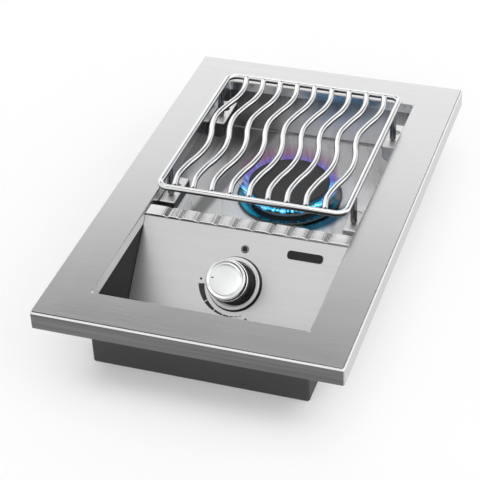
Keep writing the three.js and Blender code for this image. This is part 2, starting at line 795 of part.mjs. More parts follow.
// Bracket: shelf with a front tongue, an inner side wall and a wall welded to the bowl.
// It is drawn for the right-hand side, its shelf running inward from the bowl's wall.
function bracketSolid() {
  const wallX = linerOuterX - bowlSheet - fitGap;
  const innerX = wallX - bracketWidth;
  const length = bracketLength;
  const shelf = boxSolid(
    new THREE.Vector3(innerX, 0, bracketTop - bracketSheet),
    new THREE.Vector3(wallX, length, bracketTop),
  );
  const tongueOutline = [
    new THREE.Vector2(innerX, bracketTop),
    new THREE.Vector2(innerX, bracketTop - bracketTongueDrop + bracketTongueRounding),
  ];
  for (let step = 0; step <= cornerSteps; step += 1) {
    const angle = Math.PI * (1 + step / cornerSteps / 2);
    tongueOutline.push(
      new THREE.Vector2(
        innerX + bracketTongueRounding * (1 + Math.cos(angle)),
        bracketTop - bracketTongueDrop + bracketTongueRounding * (1 + Math.sin(angle)),
      ),
    );
  }
  tongueOutline.push(new THREE.Vector2(wallX, bracketTop - bracketTongueDrop));
  tongueOutline.push(new THREE.Vector2(wallX, bracketTop));
  const tongueShape = new THREE.Shape(tongueOutline);
  const tongueGeometry = new THREE.ExtrudeGeometry(tongueShape, {
    depth: bracketSheet,
    bevelEnabled: false,
  });
  tongueGeometry.rotateX(Math.PI / 2);
  tongueGeometry.translate(0, bracketSheet, 0);
  const inner = boxSolid(
    new THREE.Vector3(innerX, bracketSheet / 2, bracketTop - bracketSideDrop + bracketBendRadius),
    new THREE.Vector3(innerX + bracketSheet, length, bracketTop),
  );
  const outer = boxSolid(
    new THREE.Vector3(wallX - bracketSheet, bracketSheet / 2, bracketTop - bracketTongueDrop),
    new THREE.Vector3(wallX, length, bracketTop),
  );
  const body = join(shelf, solidOf(tongueGeometry), inner, outer);
  const middle = new THREE.Vector2((innerX + wallX) / 2, length / 2);
  const half = new THREE.Vector2(bracketWidth / 2, length / 2);
  const envelope = roundedBlock(half, bracketBendRadius, 0, bracketTop, { topBend: bracketBendRadius });
  const rounded = body.intersect(movedSolid(envelope, shiftBy(middle.x, middle.y, 0)));
  const holeLow = bracketTop - bracketBendRadius - bracketSheet;
  const hole = cylinderSolid(bracketHoleDiameter / 2, holeLow, unitHeight);
  return cut(rounded, movedSolid(hole, shiftBy(grateHalfX, bracketHoleSetback, 0)));
}

// Burner base: plate with a raised rim and a hub round the neck of the mixing tube
function burnerBaseSolid() {
  const outer = baseDiameter / 2;
  const inner = outer - baseRimWidth;
  const hubInner = neckDiameter / 2 + fitGap;
  const hubOuter = hubInner + baseHubWall;
  const plateTop = baseFloor + basePlate;
  return ringSolid([
    [hubInner, baseFloor],
    [outer, baseFloor],
    [outer, baseFloor + baseRimHeight],
    [inner, baseFloor + baseRimHeight],
    [inner - baseRimWidth / 2, plateTop],
    [hubOuter, plateTop],
    [hubOuter, plateTop + baseHubHeight],
    [hubInner, plateTop + baseHubHeight],
  ]);
}

// Burner crown: ring with a row of main ports and a small port between each two
function crownSolid() {
  const outer = crownDiameter / 2;
  const inner = outer - crownWall;
  const land = inner - crownLandWidth;
  const top = crownFloor + crownHeight;
  const ring = ringSolid(
    [
      [inner - crownWall, crownFloor],
      [outer + crownFootReach, crownFloor],
      [outer + crownFootReach, crownFloor + crownFootHeight],
      [outer, crownFloor + crownFootHeight + crownFootReach],
      [outer, top],
      [land, top],
      [land, top - crownWall],
      [inner, top - crownWall - crownLandWidth],
      [inner, crownFloor + crownFootHeight],
      [inner - crownWall, crownFloor + crownFootHeight],
    ],
    crownSides,
  );
  const port = (diameter, turn, drop) => {
    const bore = cylinderSolid(diameter / 2, 0, outer + crownFootReach + cutOverrun, portSides);
    const matrix = new THREE.Matrix4()
      .makeRotationZ(turn)
      .multiply(new THREE.Matrix4().makeTranslation(0, 0, top - drop))
      .multiply(new THREE.Matrix4().makeRotationY(Math.PI / 2));
    return movedSolid(bore, matrix);
  };
  const ports = [];
  for (let i = 0; i < mainPortCount; i += 1) {
    const turn = mainPortTurn + (i / mainPortCount) * 2 * Math.PI;
    const between = turn + Math.PI / mainPortCount;
    ports.push(port(mainPortDiameter, turn, mainPortDrop));
    ports.push(port(smallPortDiameter, between, smallPortDrop));
  }
  return cut(ring, join(...ports));
}

// Burner cap: lid with a spigot that drops into the crown
function burnerCapSolid() {
  const outer = capDiameter / 2;
  const spigotOuter = crownDiameter / 2 - crownWall - crownLandWidth - runningGap;
  const spigotInner = spigotOuter - capSpigotWall;
  const top = capFloor + capThickness;
  return latheSolid([
    [0, capFloor],
    [spigotInner, capFloor],
    [spigotInner, capFloor - capSpigotDepth],
    [spigotOuter, capFloor - capSpigotDepth],
    [spigotOuter, capFloor],
    [outer - capEdgeRounding, capFloor],
    [outer, capFloor + capEdgeRounding],
    [outer, top - capEdgeRounding],
    [outer - capEdgeRounding, top],
    [outer - 2 * capEdgeRounding, top],
    [0, top - capDish],
  ]);
}

// Mixing tube: bell mouth, throat and flare under the bowl, with a neck up into the burner
function mixingTubeSolid() {
  const bore = tubeBore / 2;
  const throat = bore * tubeThroatShare;
  const mouth = tubeMouthDiameter / 2;
  const length = burnerY - neckWall - tubeFrontY;
  const outside = latheSolid([
    [0, 0],
    [mouth, 0],
    [mouth, tubeMouthLength / 2],
    [throat + tubeWall, tubeMouthLength],
    [bore + tubeWall, tubeMouthLength + tubeFlareLength],
    [bore + tubeWall, length],
    [0, length],
  ], smallSides);
  const inside = latheSolid([
    [0, -cutOverrun],
    [mouth - tubeWall, -cutOverrun],
    [mouth - tubeWall, tubeMouthLength / 2],
    [throat, tubeMouthLength],
    [bore, tubeMouthLength + tubeFlareLength],
    [bore, length],
    [0, length],
  ], smallSides);
  const along = new THREE.Matrix4().makeRotationX(-Math.PI / 2).setPosition(0, tubeFrontY, tubeLevel);
  const neckLow = casingSheet + fitGap + neckFoot;
  const neckHigh = bowlFloor + neckRise;
  const place = shiftBy(0, burnerY, 0);
  const neck = movedSolid(cylinderSolid(neckDiameter / 2, neckLow, neckHigh), place);
  const neckBore = cylinderSolid(neckDiameter / 2 - neckWall, neckLow + neckWall, neckHigh + cutOverrun);
  const body = join(movedSolid(outside, along), neck);
  return cut(body, movedSolid(inside, along), movedSolid(neckBore, place));
}

// Air shutter: sleeve with two windows that turns on the mouth of the mixing tube
function airShutterSolid() {
  const inner = tubeMouthDiameter / 2 + fitGap;
  const outer = inner + shutterWall - fitGap;
  const sleeve = ringSolid([
    [inner, 0],
    [outer, 0],
    [outer, shutterLength],
    [inner, shutterLength],
  ], smallSides);
  const middle = shutterLength / 2;
  const window = boxSolid(
    new THREE.Vector3(-outer - cutOverrun, -shutterWindowWidth / 2, middle - shutterWindowLength / 2),
    new THREE.Vector3(outer + cutOverrun, shutterWindowWidth / 2, middle + shutterWindowLength / 2),
  );
  return cut(sleeve, window);
}

// Igniter: ceramic foot with an electrode bent towards the crown
function electrodeSolid() {
  const top = crownFloor + ceramicHeight;
  const body = cylinderSolid(ceramicDiameter / 2, crownFloor, top);
  const path = new THREE.CatmullRomCurve3([
    new THREE.Vector3(0, 0, top - electrodeDiameter),
    new THREE.Vector3(0, 0, top + electrodeRise / 2),
    new THREE.Vector3(-electrodeReach / 2, 0, top + electrodeRise),
    new THREE.Vector3(-electrodeReach, 0, top + electrodeRise),
  ]);
  return join(body, rodSolid(path, electrodeDiameter / 2, portSides, portSides));
}

// Control knob: grip with a hollow underside, chrome ring and dished chrome cap
const capLow = knobHeight - knobCapHeight;
const ringHigh = capLow - knobGrooveHeight;
const ringLow = ringHigh - knobRingHeight;

function gripSolid() {
  const skirtTop = gripLift + gripSkirtHeight;
  const skirt = gripSkirtDiameter / 2;
  const waist = gripWaistDiameter / 2;
  const collar = knobRingDiameter / 2 - knobRingWall;
  const neck = knobFaceDiameter / 2 - knobRimWidth - knobGrooveDepth;
  const hub = gripHubDiameter / 2;
  const roof = skirtTop + gripRoof;
  const outside = latheSolid([
    [0, gripHubLift],
    [hub, gripHubLift],
    [hub, roof],
    [waist - gripWall, roof],
    [skirt - gripWall, gripLift],
    [skirt, gripLift],
    [skirt, skirtTop - gripRoof / 2],
    [skirt - gripRoof / 2, skirtTop],
    [waist, roof],
    [gripTopDiameter / 2, ringLow - fitGap],
    [collar - fitGap, ringLow - fitGap],
    [collar - fitGap, ringHigh + fitGap],
    [neck, ringHigh + fitGap],
    [neck, capLow - fitGap],
    [0, capLow - fitGap],
  ]);
  return cut(outside, stemShape(stemDiameter / 2 + fitGap, gripHubLift - cutOverrun, stemTop + fitGap));
}

// A round shaft with a flat along one side
function stemShape(radius, low, high) {
  const flat = radius - stemFlat;
  const side = boxSolid(
    new THREE.Vector3(-2 * radius, flat, low - cutOverrun),
    new THREE.Vector3(2 * radius, 2 * radius, high + cutOverrun),
  );
  return cut(cylinderSolid(radius, low, high), side);
}

const stemTop = ringLow - stemTopMargin;

function knobRingSolid() {
  const outer = knobRingDiameter / 2;
  const inner = outer - knobRingWall;
  return ringSolid([
    [inner, ringLow],
    [outer - knobRingHeight / 4, ringLow],
    [outer, ringLow + knobRingHeight / 4],
    [outer, ringHigh - knobRingHeight / 4],
    [outer - knobRingHeight / 4, ringHigh],
    [inner, ringHigh],
  ]);
}

function knobCapSolid() {
  const outer = knobFaceDiameter / 2;
  const rim = outer - knobRimWidth;
  return latheSolid([
    [0, capLow],
    [outer - knobRimRounding, capLow],
    [outer, capLow + knobRimRounding],
    [outer, knobHeight - knobRimRounding],
    [outer - knobRimRounding / 2, knobHeight],
    [rim + knobRimRounding / 2, knobHeight],
    [rim - knobRimRounding, knobHeight - knobFaceDish],
    [0, knobHeight - knobFaceDish / 2],
  ]);
}

// Bezel: black base with a bright face ring
function bezelBaseSolid() {
  const outer = bezelDiameter / 2 - bezelBaseInset;
  const inner = outer - bezelBaseWall;
  const top = bezelHeight - bezelFaceHeight - fitGap;
  return ringSolid([[inner, fitGap], [outer, fitGap], [outer, top], [inner, top]]);
}

function bezelFaceSolid() {
  const outer = bezelDiameter / 2;
  const inner = bezelInnerDiameter / 2;
  const low = bezelHeight - bezelFaceHeight;
  return ringSolid([
    [inner, low],
    [outer, low],
    [outer, bezelHeight - bezelFaceSlope / 2],
    [outer - bezelFaceSlope / 2, bezelHeight],
    [inner, bezelHeight - bezelFaceSlope],
  ]);
}

// Gas valve: flange screwed behind the panel, round body and a bored seat for the stem
function valveSolid() {
  const top = -panelSheet - fitGap;
  const flangeLow = top - valveFlangeThickness;
  const outline = roundedOutline(valveFlangeLength / 2, valveFlangeWidth / 2, valveFlangeRounding);
  const flange = prismSolid(outline, flangeLow, top);
  const body = cylinderSolid(valveDiameter / 2, -valveLength, flangeLow + fitGap, roundSides / 2);
  const bore = stemDiameter / 2 + runningGap;
  const seat = cylinderSolid(bore, -stemInsideReach - pushTravel - fitGap, cutOverrun);
  const screwHoles = [-1, 1].map((side) => {
    const hole = cylinderSolid(screwShankDiameter / 2 + fitGap, flangeLow - cutOverrun, cutOverrun);
    return movedSolid(hole, shiftBy((side * valveScrewSpacing) / 2, 0, 0));
  });
  return cut(join(flange, body), seat, ...screwHoles);
}

function valveScrewSolid(side) {
  const head = screwHeadDiameter / 2;
  const shank = screwShankDiameter / 2;
  const tail = -panelSheet - fitGap - valveFlangeThickness;
  const screw = latheSolid([
    [0, tail],
    [shank, tail],
    [shank, fitGap],
    [head, fitGap],
    [head, fitGap + screwHeadHeight / 2],
    [head / 2, fitGap + screwHeadHeight],
    [0, fitGap + screwHeadHeight],
  ], smallSides);
  return movedSolid(screw, shiftBy((side * valveScrewSpacing) / 2, 0, 0));
}

function collarSolid() {
  const inner = stemDiameter / 2 + fitGap;
  const outer = collarDiameter / 2;
  const top = collarLift + collarThickness;
  return ringSolid([[inner, collarLift], [outer, collarLift], [outer, top], [inner, top]], smallSides);
}

// Spark box: clipped to the side of the valve, turned by the same stem
function sparkBoxSolid() {
  const low = -panelSheet - fitGap - valveFlangeThickness - fitGap;
  const near = valveDiameter / 2 + fitGap;
  const outline = roundedOutline(sparkBoxWidth / 2, sparkBoxDepth / 2, fitGap + stemFlat);
  const box = prismSolid(outline, low - sparkBoxLength, low);
  return movedSolid(box, shiftBy(near + sparkBoxWidth / 2, 0, 0));
}

// Orifice: brass elbow from the end of the valve to the mouth of the mixing tube
const valveEnd = panelPoint(knobDown).add(
  new THREE.Vector3(0, Math.sin(panelSlope), -Math.cos(panelSlope)).multiplyScalar(valveLength + fitGap),
);
const turnToLevel = Math.PI / 2 - panelSlope;

function orificeSolid() {
  const down = new THREE.Vector3(0, Math.cos(turnToLevel), -Math.sin(turnToLevel));
  const drop = valveEnd.z - tubeLevel;
  const bendRadius = (drop * orificeBendShare) / (1 - Math.cos(turnToLevel));
  const lead = (drop * (1 - orificeBendShare)) / Math.sin(turnToLevel);
  const bendStart = valveEnd.clone().addScaledVector(down, lead);
  const bend = new LevellingBend(bendStart, turnToLevel, bendRadius);
  const tailStart = bend.getPoint(1);
  const end = new THREE.Vector3(tailStart.x, tubeFrontY + orificeEntry, tailStart.z);
  const path = new THREE.CurvePath();
  path.add(new THREE.LineCurve3(valveEnd, bendStart));
  path.add(bend);
  path.add(new THREE.LineCurve3(tailStart, end));
  const elbow = rodSolid(path, orificeDiameter / 2, pipeSteps, pipeSides);
  const along = new THREE.Matrix4().makeRotationX(-Math.PI / 2).setPosition(end);
  const nutHigh = -orificeNutSetback;
  const nut = movedSolid(hexNut(orificeNutWidth, nutHigh - orificeNutLength, nutHigh), along);
  const boreEnd = nutHigh - orificeNutLength;
  const bore = movedSolid(cylinderSolid(orificeBore / 2, boreEnd, cutOverrun, portSides), along);
  return cut(join(elbow, nut), bore);
}

// A bend in the YZ plane that starts downward and ends level towards +Y
class LevellingBend extends THREE.Curve {
  constructor(start, turn, radius) {
    super();
    this.start = start;
    this.turn = turn;
    this.radius = radius;
  }

  getPoint(share, target = new THREE.Vector3()) {
    const angle = this.turn * (1 - share);
    const y = this.radius * (Math.sin(this.turn) - Math.sin(angle));
    const z = this.radius * (Math.cos(this.turn) - Math.cos(angle));
    return target.set(this.start.x, this.start.y + y, this.start.z + z);
  }
}

// Gas inlet: bent pipe from the valve's side down to a flare nut over the casing's hole
const inletStart = panelPoint(knobDown).add(
  new THREE.Vector3(0, Math.sin(panelSlope), -Math.cos(panelSlope)).multiplyScalar(valveLength / 2),
);
const inletX = -valveDiameter / 2 - inletReach;
const inletY = inletStart.y;

function inletSolid() {
  const startX = -valveDiameter / 2 - fitGap;
  const low = casingSheet + inletFloorGap;
  const path = new THREE.CurvePath();
  const corner = new THREE.Vector3(inletX, inletY, inletStart.z);
  const bendStart = corner.clone().add(new THREE.Vector3(inletBendRadius, 0, 0));
  const bendEnd = corner.clone().add(new THREE.Vector3(0, 0, -inletBendRadius));
  path.add(new THREE.LineCurve3(new THREE.Vector3(startX, inletY, inletStart.z), bendStart));
  path.add(new THREE.QuadraticBezierCurve3(bendStart, corner, bendEnd));
  path.add(new THREE.LineCurve3(bendEnd, new THREE.Vector3(inletX, inletY, low + inletNutLength / 2)));
  const pipe = rodSolid(path, inletDiameter / 2, pipeSteps, pipeSides);
  const place = shiftBy(inletX, inletY, 0);
  const nut = movedSolid(hexNut(inletNutWidth, low, low + inletNutLength), place);
  const bore = movedSolid(cylinderSolid(inletBore / 2, low - cutOverrun, low + inletNutLength / 2), place);
  return cut(join(pipe, nut), bore);
}

// Indicator and plain plate on the panel
function indicatorRingSolid() {
  const outer = indicatorDiameter / 2;
  const inner = indicatorHoleDiameter / 2 + fitGap;
  const top = fitGap + indicatorHeight;
  const slopeStart = outer - indicatorHeight / 2;
  return ringSolid([[inner, fitGap], [outer, fitGap], [slopeStart, top], [inner, top]], smallSides);
}

function indicatorLensSolid() {
  const radius = indicatorHoleDiameter / 2;
  return latheSolid([
    [0, -lensTail],
    [radius, -lensTail],
    [radius, lensRise],
    [radius / 2, lensRise + lensRise / 2],
    [0, lensRise + lensRise / 2],
  ], smallSides);
}

function plainPlateSolid() {
  const outline = roundedOutline(badgeWidth / 2, badgeHeight / 2, badgeCornerRadius);
  return prismSolid(outline, fitGap, fitGap + badgeThickness);
}

// Shell pieces
addPiece('top_frame', topFrameSolid(), satinSteel);
addPiece('casing', casingSolid(), greyPaint);
addPiece('burner_bowl', bowlSolid(), polishedSteel);
addPiece('vent_strip', ventStripSolid(), satinSteel);
addPiece('control_panel', controlPanelSolid(), satinSteel);
addPiece('trough_liner', troughLinerSolid(), satinSteel);

// Brackets and grate
const bracket = bracketSolid();
const leftward = new THREE.Matrix4().makeScale(-1, 1, 1);
const mirrored = geometryOf(bracket).applyMatrix4(leftward);
mirrored.setIndex(Array.from(mirrored.index.array).reverse());
const bracketPair = { right: bracket, left: solidOf(mirrored) };
for (const [place, along] of [['front', -1], ['back', 1]]) {
  for (const [side, across] of [['left', -1], ['right', 1]]) {
    const shelf = addPiece(`grate_bracket_${place}_${side}`, bracketPair[side], polishedSteel);
    shelf.position.y = legMiddleY + (along * bracketSpacing) / 2 - bracketFrontReach;
    const leg = addPiece(`grate_leg_${place}_${side}`, legSolid(), chrome);
    leg.position.set(across * grateHalfX, legMiddleY + (along * legSpacing) / 2, 0);
  }
}
addPiece('grate_frame_rod', grateFrameSolid(), chrome);
for (let i = 0; i < waveRodCount; i += 1) {
  addPiece(`grate_wave_rod_${i + 1}`, waveRodSolid(i), chrome);
}

// Burner
const burner = new THREE.Group();
burner.position.y = burnerY;
sideBurner.add(burner);
addPiece('burner_base', burnerBaseSolid(), castIron, burner);
addPiece('burner_crown', crownSolid(), castAluminium, burner);
addPiece('burner_cap', burnerCapSolid(), blackEnamel, burner);

const igniter = new THREE.Group();
igniter.position.set(0, burnerY, 0);
igniter.rotation.z = igniterAngle;
sideBurner.add(igniter);
const electrode = addPiece('igniter_electrode', electrodeSolid(), ceramic, igniter);
electrode.position.x = igniterRadius;

addPiece('mixing_tube', mixingTubeSolid(), castAluminium);
const shutter = addPiece('air_shutter', airShutterSolid(), satinSteel);
shutter.position.set(0, tubeFrontY, tubeLevel);
shutter.rotation.x = -Math.PI / 2;
addPiece('valve_orifice', orificeSolid(), brass);
addPiece('gas_inlet', inletSolid(), brass);

// Knob, bezel and valve share the knob's axis
const knobAxis = new THREE.Group();
knobAxis.applyMatrix4(panelMatrix(knobDown));
sideBurner.add(knobAxis);
addPiece('knob_grip', gripSolid(), blackPlastic, knobAxis);
addPiece('knob_ring', knobRingSolid(), chrome, knobAxis);
addPiece('knob_cap', knobCapSolid(), chrome, knobAxis);
addPiece('valve_stem', stemShape(stemDiameter / 2, -stemInsideReach, stemTop), brass, knobAxis);
addPiece('push_collar', collarSolid(), satinSteel, knobAxis);
addPiece('bezel_base', bezelBaseSolid(), blackPlastic, knobAxis);
addPiece('bezel_face', bezelFaceSolid(), chrome, knobAxis);
addPiece('gas_valve', valveSolid(), castAluminium, knobAxis);
addPiece('spark_box', sparkBoxSolid(), blackPlastic, knobAxis);
addPiece('valve_screw_left', valveScrewSolid(-1), satinSteel, knobAxis);
addPiece('valve_screw_right', valveScrewSolid(1), satinSteel, knobAxis);

const indicatorAxis = new THREE.Group();
indicatorAxis.applyMatrix4(panelMatrix(indicatorDown, indicatorSide));
sideBurner.add(indicatorAxis);
addPiece('indicator_ring', indicatorRingSolid(), greyPlastic, indicatorAxis);
addPiece('indicator_lens', indicatorLensSolid(), blackPlastic, indicatorAxis);

const plateAxis = new THREE.Group();
plateAxis.applyMatrix4(panelMatrix(badgeDown, badgeSide));
sideBurner.add(plateAxis);
addPiece('plain_plate', plainPlateSolid(), blackPlastic, plateAxis);

export default sideBurner;
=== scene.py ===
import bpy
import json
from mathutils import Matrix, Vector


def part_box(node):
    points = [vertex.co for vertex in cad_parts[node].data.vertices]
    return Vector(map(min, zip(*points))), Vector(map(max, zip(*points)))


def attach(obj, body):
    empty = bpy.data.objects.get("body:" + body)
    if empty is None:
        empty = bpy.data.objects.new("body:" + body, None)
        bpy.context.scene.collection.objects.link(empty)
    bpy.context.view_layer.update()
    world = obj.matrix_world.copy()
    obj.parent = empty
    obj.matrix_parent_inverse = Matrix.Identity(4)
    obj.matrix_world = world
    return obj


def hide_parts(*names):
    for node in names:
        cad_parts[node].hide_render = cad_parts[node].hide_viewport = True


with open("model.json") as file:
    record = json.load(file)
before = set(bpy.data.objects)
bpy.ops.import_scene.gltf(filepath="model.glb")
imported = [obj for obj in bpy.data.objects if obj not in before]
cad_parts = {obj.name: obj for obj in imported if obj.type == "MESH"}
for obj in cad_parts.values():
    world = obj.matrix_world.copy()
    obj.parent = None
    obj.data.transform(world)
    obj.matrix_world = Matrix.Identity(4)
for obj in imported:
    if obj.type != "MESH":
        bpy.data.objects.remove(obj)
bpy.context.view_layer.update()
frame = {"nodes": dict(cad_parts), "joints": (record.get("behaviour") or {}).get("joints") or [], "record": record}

import json
import math

import bmesh
import bpy
from mathutils import Euler, Matrix, Vector

bl_info = {
    "name": "Built in side burner",
    "version": (1, 0, 0),
    "blender": (4, 5, 0),
    "location": "3D View > Sidebar > Side Burner",
    "description": "Dresses the frame of a built in gas side burner and sets up its studio",
    "category": "Add Mesh",
}

MM = 0.001
FULL_TURN = 2 * math.pi


# ---- Sizes and colours a user would change ----


def number(name, description, default, **options):
    return bpy.props.FloatProperty(name=name, description=description, default=default, **options)


def length(name, description, default):
    """A length, its default in millimetres."""
    return number(name, description, default * MM, unit="LENGTH")


def degrees(name, description, default):
    """An angle, its default in degrees."""
    return number(name, description, math.radians(default), subtype="ANGLE")


def whole(name, description, default):
    return bpy.props.IntProperty(name=name, description=description, default=default)


def colour(name, description, default):
    return bpy.props.FloatVectorProperty(
        name=name, description=description, default=default, subtype="COLOR", size=3, min=0, max=1)


class SheetSizes(bpy.types.PropertyGroup):
    """Sheet thicknesses and bends"""

    side_border: length("Side border", "Width of the flat border at both sides of the opening", 55.0)
    end_border: length("End border", "Width of the flat border before and behind the opening", 53.9)
    frame_sheet: length("Frame sheet", "Thickness of the top frame's sheet", 1.2)
    frame_bend: length("Frame bend", "Outer radius of the fold round the top frame", 2.4)
    lip_bend: length("Lip bend", "Radius of the fold down into the opening", 2.0)
    lip_drop: length("Lip drop", "How far the lip reaches down into the opening", 13.5)
    hem: length("Hem", "Width of the hem that stands on the worktop", 9.0)
    liner_sheet: length("Liner sheet", "Thickness of the bowl and the trough", 1.0)
    liner_bend: length("Liner bend", "Inner radius where the walls meet the floor", 1.8)


class StripSizes(bpy.types.PropertyGroup):
    """Grooves of the vent strip"""

    groove_count: whole("Grooves", "Evenly spaced grooves, besides the one near the left end", 9)
    groove_pitch: length("Pitch", "Distance between two grooves", 23.0)
    groove_width: length("Width", "Width of a groove", 7.4)
    groove_depth: length("Depth", "Depth of a groove", 1.8)
    groove_shift: length("Shift", "How far the row of grooves lies to the right of the middle", 8.4)
    end_spacing: length("End spacing", "Distance of the left groove from its neighbour", 16.8)


class GrateSizes(bpy.types.PropertyGroup):
    """Rods of the grate"""

    corner_radius: length("Corner radius", "Radius of the frame rod's bends, to its middle line", 13.0)
    rim_diameter: length("Frame rod", "Diameter of the frame rod", 8.0)
    bar_count: whole("Wave rods", "Number of wave rods", 9)
    bar_diameter: length("Wave rod", "Diameter of the wave rods", 7.6)
    bar_pitch: length("Pitch", "Distance between two wave rods", 23.73)
    wave_height: length("Wave height", "How far a wave swings to each side", 7.0)
    weld_diameter: length("Weld bead", "Width of the weld beads at the rods' ends", 3.2)


class BurnerSizes(bpy.types.PropertyGroup):
    """Burner, ports and flames"""

    middle_y: length("Middle", "Distance of the burner's middle behind the unit's middle", 100.0)
    port_count: whole("Ports", "Number of main ports round the crown", 14)
    port_turn: degrees("Port turn", "Turn of the first main port", -5)
    port_diameter: length("Main port", "Diameter of the main ports", 4.6)
    small_port_diameter: length("Small port", "Diameter of the ports between them", 2.2)
    flame_reach: length("Flame reach", "How far the longest flames reach from their ports", 16.5)
    flame_rise: length("Flame rise", "How far the longest flames rise above their ports", 12.5)
    haze_rise: length("Haze rise", "How far the violet haze rises above the ports", 27.0)


class KnobSizes(bpy.types.PropertyGroup):
    """Knob, bezel and marks, measured from the face of the panel"""

    slope: degrees("Panel slope", "Slope of the control panel", 46)
    face_diameter: length("Face", "Diameter of the chrome face", 48.4)
    ring_diameter: length("Ring", "Diameter of the chrome ring", 50.6)
    skirt_diameter: length("Skirt", "Diameter of the grip's skirt", 52.0)
    bezel_diameter: length("Bezel", "Diameter of the bezel", 63.6)
    scale_radius: length("Scale radius", "Inner radius of the printed scale", 37.7)


class Colours(bpy.types.PropertyGroup):
    """Colours of the finishes"""

    satin_steel: colour("Satin steel", "Brushed sheet of the frame and the panel", (0.66, 0.66, 0.665))
    polished_steel: colour("Polished steel", "Sheet of the bowl", (0.92, 0.92, 0.925))
    chrome: colour("Chrome", "Rods, knob face and rings", (0.86, 0.865, 0.87))
    grey_paint: colour("Grey paint", "Casing", (0.040, 0.040, 0.042))
    black_enamel: colour("Black enamel", "Burner cap", (0.045, 0.045, 0.047))
    black_plastic: colour("Black plastic", "Grip and bezel foot", (0.012, 0.012, 0.013))
    dish_enamel: colour("Dish enamel", "Dish under the burner", (0.014, 0.014, 0.015))
    cast_aluminium: colour("Cast aluminium", "Crown and valve", (0.52, 0.52, 0.51))
    brass: colour("Brass", "Gas fittings", (0.60, 0.43, 0.17))
    ceramic: colour("Ceramic", "Foot of the igniter", (0.42, 0.40, 0.37))
    grey_plastic: colour("Grey plastic", "Rim of the indicator", (0.20, 0.20, 0.21))
    flame_core: colour("Flame core", "Hot foot of the flames", (0.42, 0.92, 1.0))
    flame_body: colour("Flame body", "Middle of the flames", (0.01, 0.42, 0.80))
    flame_tip: colour("Flame tip", "Cool tip of the flames", (0.15, 0.16, 0.60))
    flame_haze: colour("Flame haze", "Thin haze above the flames", (0.21, 0.055, 0.17))


class StageSettings(bpy.types.PropertyGroup):
    """Floor, light and camera"""

    floor_size: number("Floor", "Side of the floor", 14.0, unit="LENGTH")
    floor_colour: colour("Floor", "Floor of the studio", (0.97, 0.97, 0.97))
    shadow: number("Shadow", "Strength of the shadow that the floor shows", 0.47, subtype="FACTOR")
    overhead: number("Overhead light", "Brightness of the sky above", 0.90)
    zenith: number("Zenith light", "Added brightness straight above", 0.5)
    back_screen: number("Back screen", "Added brightness low at the left behind the unit", 0.38)
    back_gap: number("Back gap", "Brightness taken away above the back screen", 0.72)
    right_gap: number("Right gap", "Brightness taken away at the right behind the unit", 0.75)
    front_screen: number("Front screen", "Added brightness high before the unit", 0.2)
    front_gap: number("Front gap", "Brightness taken away above the front screen", 1.3)
    right_screen: number("Right screen", "Added brightness at the right", 0.5)
    lens: number("Lens", "Focal length of the camera, in millimetres", 121.05, unit="CAMERA")


class SideBurnerSettings(bpy.types.PropertyGroup):
    """All settings of the side burner"""

    sheet: bpy.props.PointerProperty(type=SheetSizes)
    strip: bpy.props.PointerProperty(type=StripSizes)
    grate: bpy.props.PointerProperty(type=GrateSizes)
    burner: bpy.props.PointerProperty(type=BurnerSizes)
    knob: bpy.props.PointerProperty(type=KnobSizes)
    colours: bpy.props.PointerProperty(type=Colours)
    stage: bpy.props.PointerProperty(type=StageSettings)


def settings():
    return bpy.context.scene.side_burner


# ---- Shader maths ----


def maths(operation, swapped=False):
    """A method of Value that adds one Math node."""

    def method(self, *others):
        values = (*others, self) if swapped else (self, *others)
        made = self.finish.node("Math", {"operation": operation}, dict(enumerate(values)))
        return Value(self.finish, made.outputs[0])

    return method


class Value:
    """A number that changes over a surface. Sums and products of it add their Math nodes."""

    def __init__(self, finish, socket):
        self.finish = finish
        self.socket = socket

    __add__, __radd__ = maths("ADD"), maths("ADD", True)
    __sub__, __rsub__ = maths("SUBTRACT"), maths("SUBTRACT", True)
    __mul__, __rmul__ = maths("MULTIPLY"), maths("MULTIPLY", True)
    __truediv__, __rtruediv__ = maths("DIVIDE"), maths("DIVIDE", True)
    __pow__, __abs__ = maths("POWER"), maths("ABSOLUTE")
    least, most = maths("MINIMUM"), maths("MAXIMUM")

    def step(self, low, high):
        """0 below low, 1 above high and smooth between. high may be the lower one."""
        made = self.finish.node(
            "MapRange", {"interpolation_type": "SMOOTHSTEP"},
            {"Value": self, "From Min": low, "From Max": high, "To Min": 0.0, "To Max": 1.0})
        return Value(self.finish, made.outputs[0])

    def before(self, edge, start, end):
        """A step up before an edge: from so many millimetres before it to so many."""
        return self.step(edge - start * MM, edge - end * MM)


class Nodes:
    """A node tree that is filled by one method."""

    def __init__(self, tree):
        self.tree = tree
        tree.nodes.clear()

    def node(self, kind, options=(), sockets=()):
        made = self.tree.nodes.new("ShaderNode" + kind)
        for key, value in dict(options).items():
            if key == "stops":
                self.set_stops(made.color_ramp, value)
            else:
                setattr(made, key, value)
        for key, value in dict(sockets).items():
            self.join(made.inputs[key], value)
        return made

    def join(self, socket, value):
        if isinstance(value, Value):
            value = value.socket
        if isinstance(value, bpy.types.NodeSocket):
            self.tree.links.new(value, socket)
        else:
            socket.default_value = value

    @staticmethod
    def set_stops(ramp, stops):
        while len(ramp.elements) < len(stops):
            ramp.elements.new(1.0)
        for element, (place, shade) in zip(ramp.elements, stops):
            element.position = place
            element.color = (*shade, 1.0)

    def split(self, vector):
        """The X, Y and Z of a vector."""
        made = self.node("SeparateXYZ", sockets={0: vector})
        return [Value(self, made.outputs[i]) for i in range(3)]

    def seen_by(self, *rays):
        """1 where a ray of one of these kinds arrives."""
        outputs = self.node("LightPath").outputs
        return sum(Value(self, outputs[f"Is {ray} Ray"]) for ray in rays)


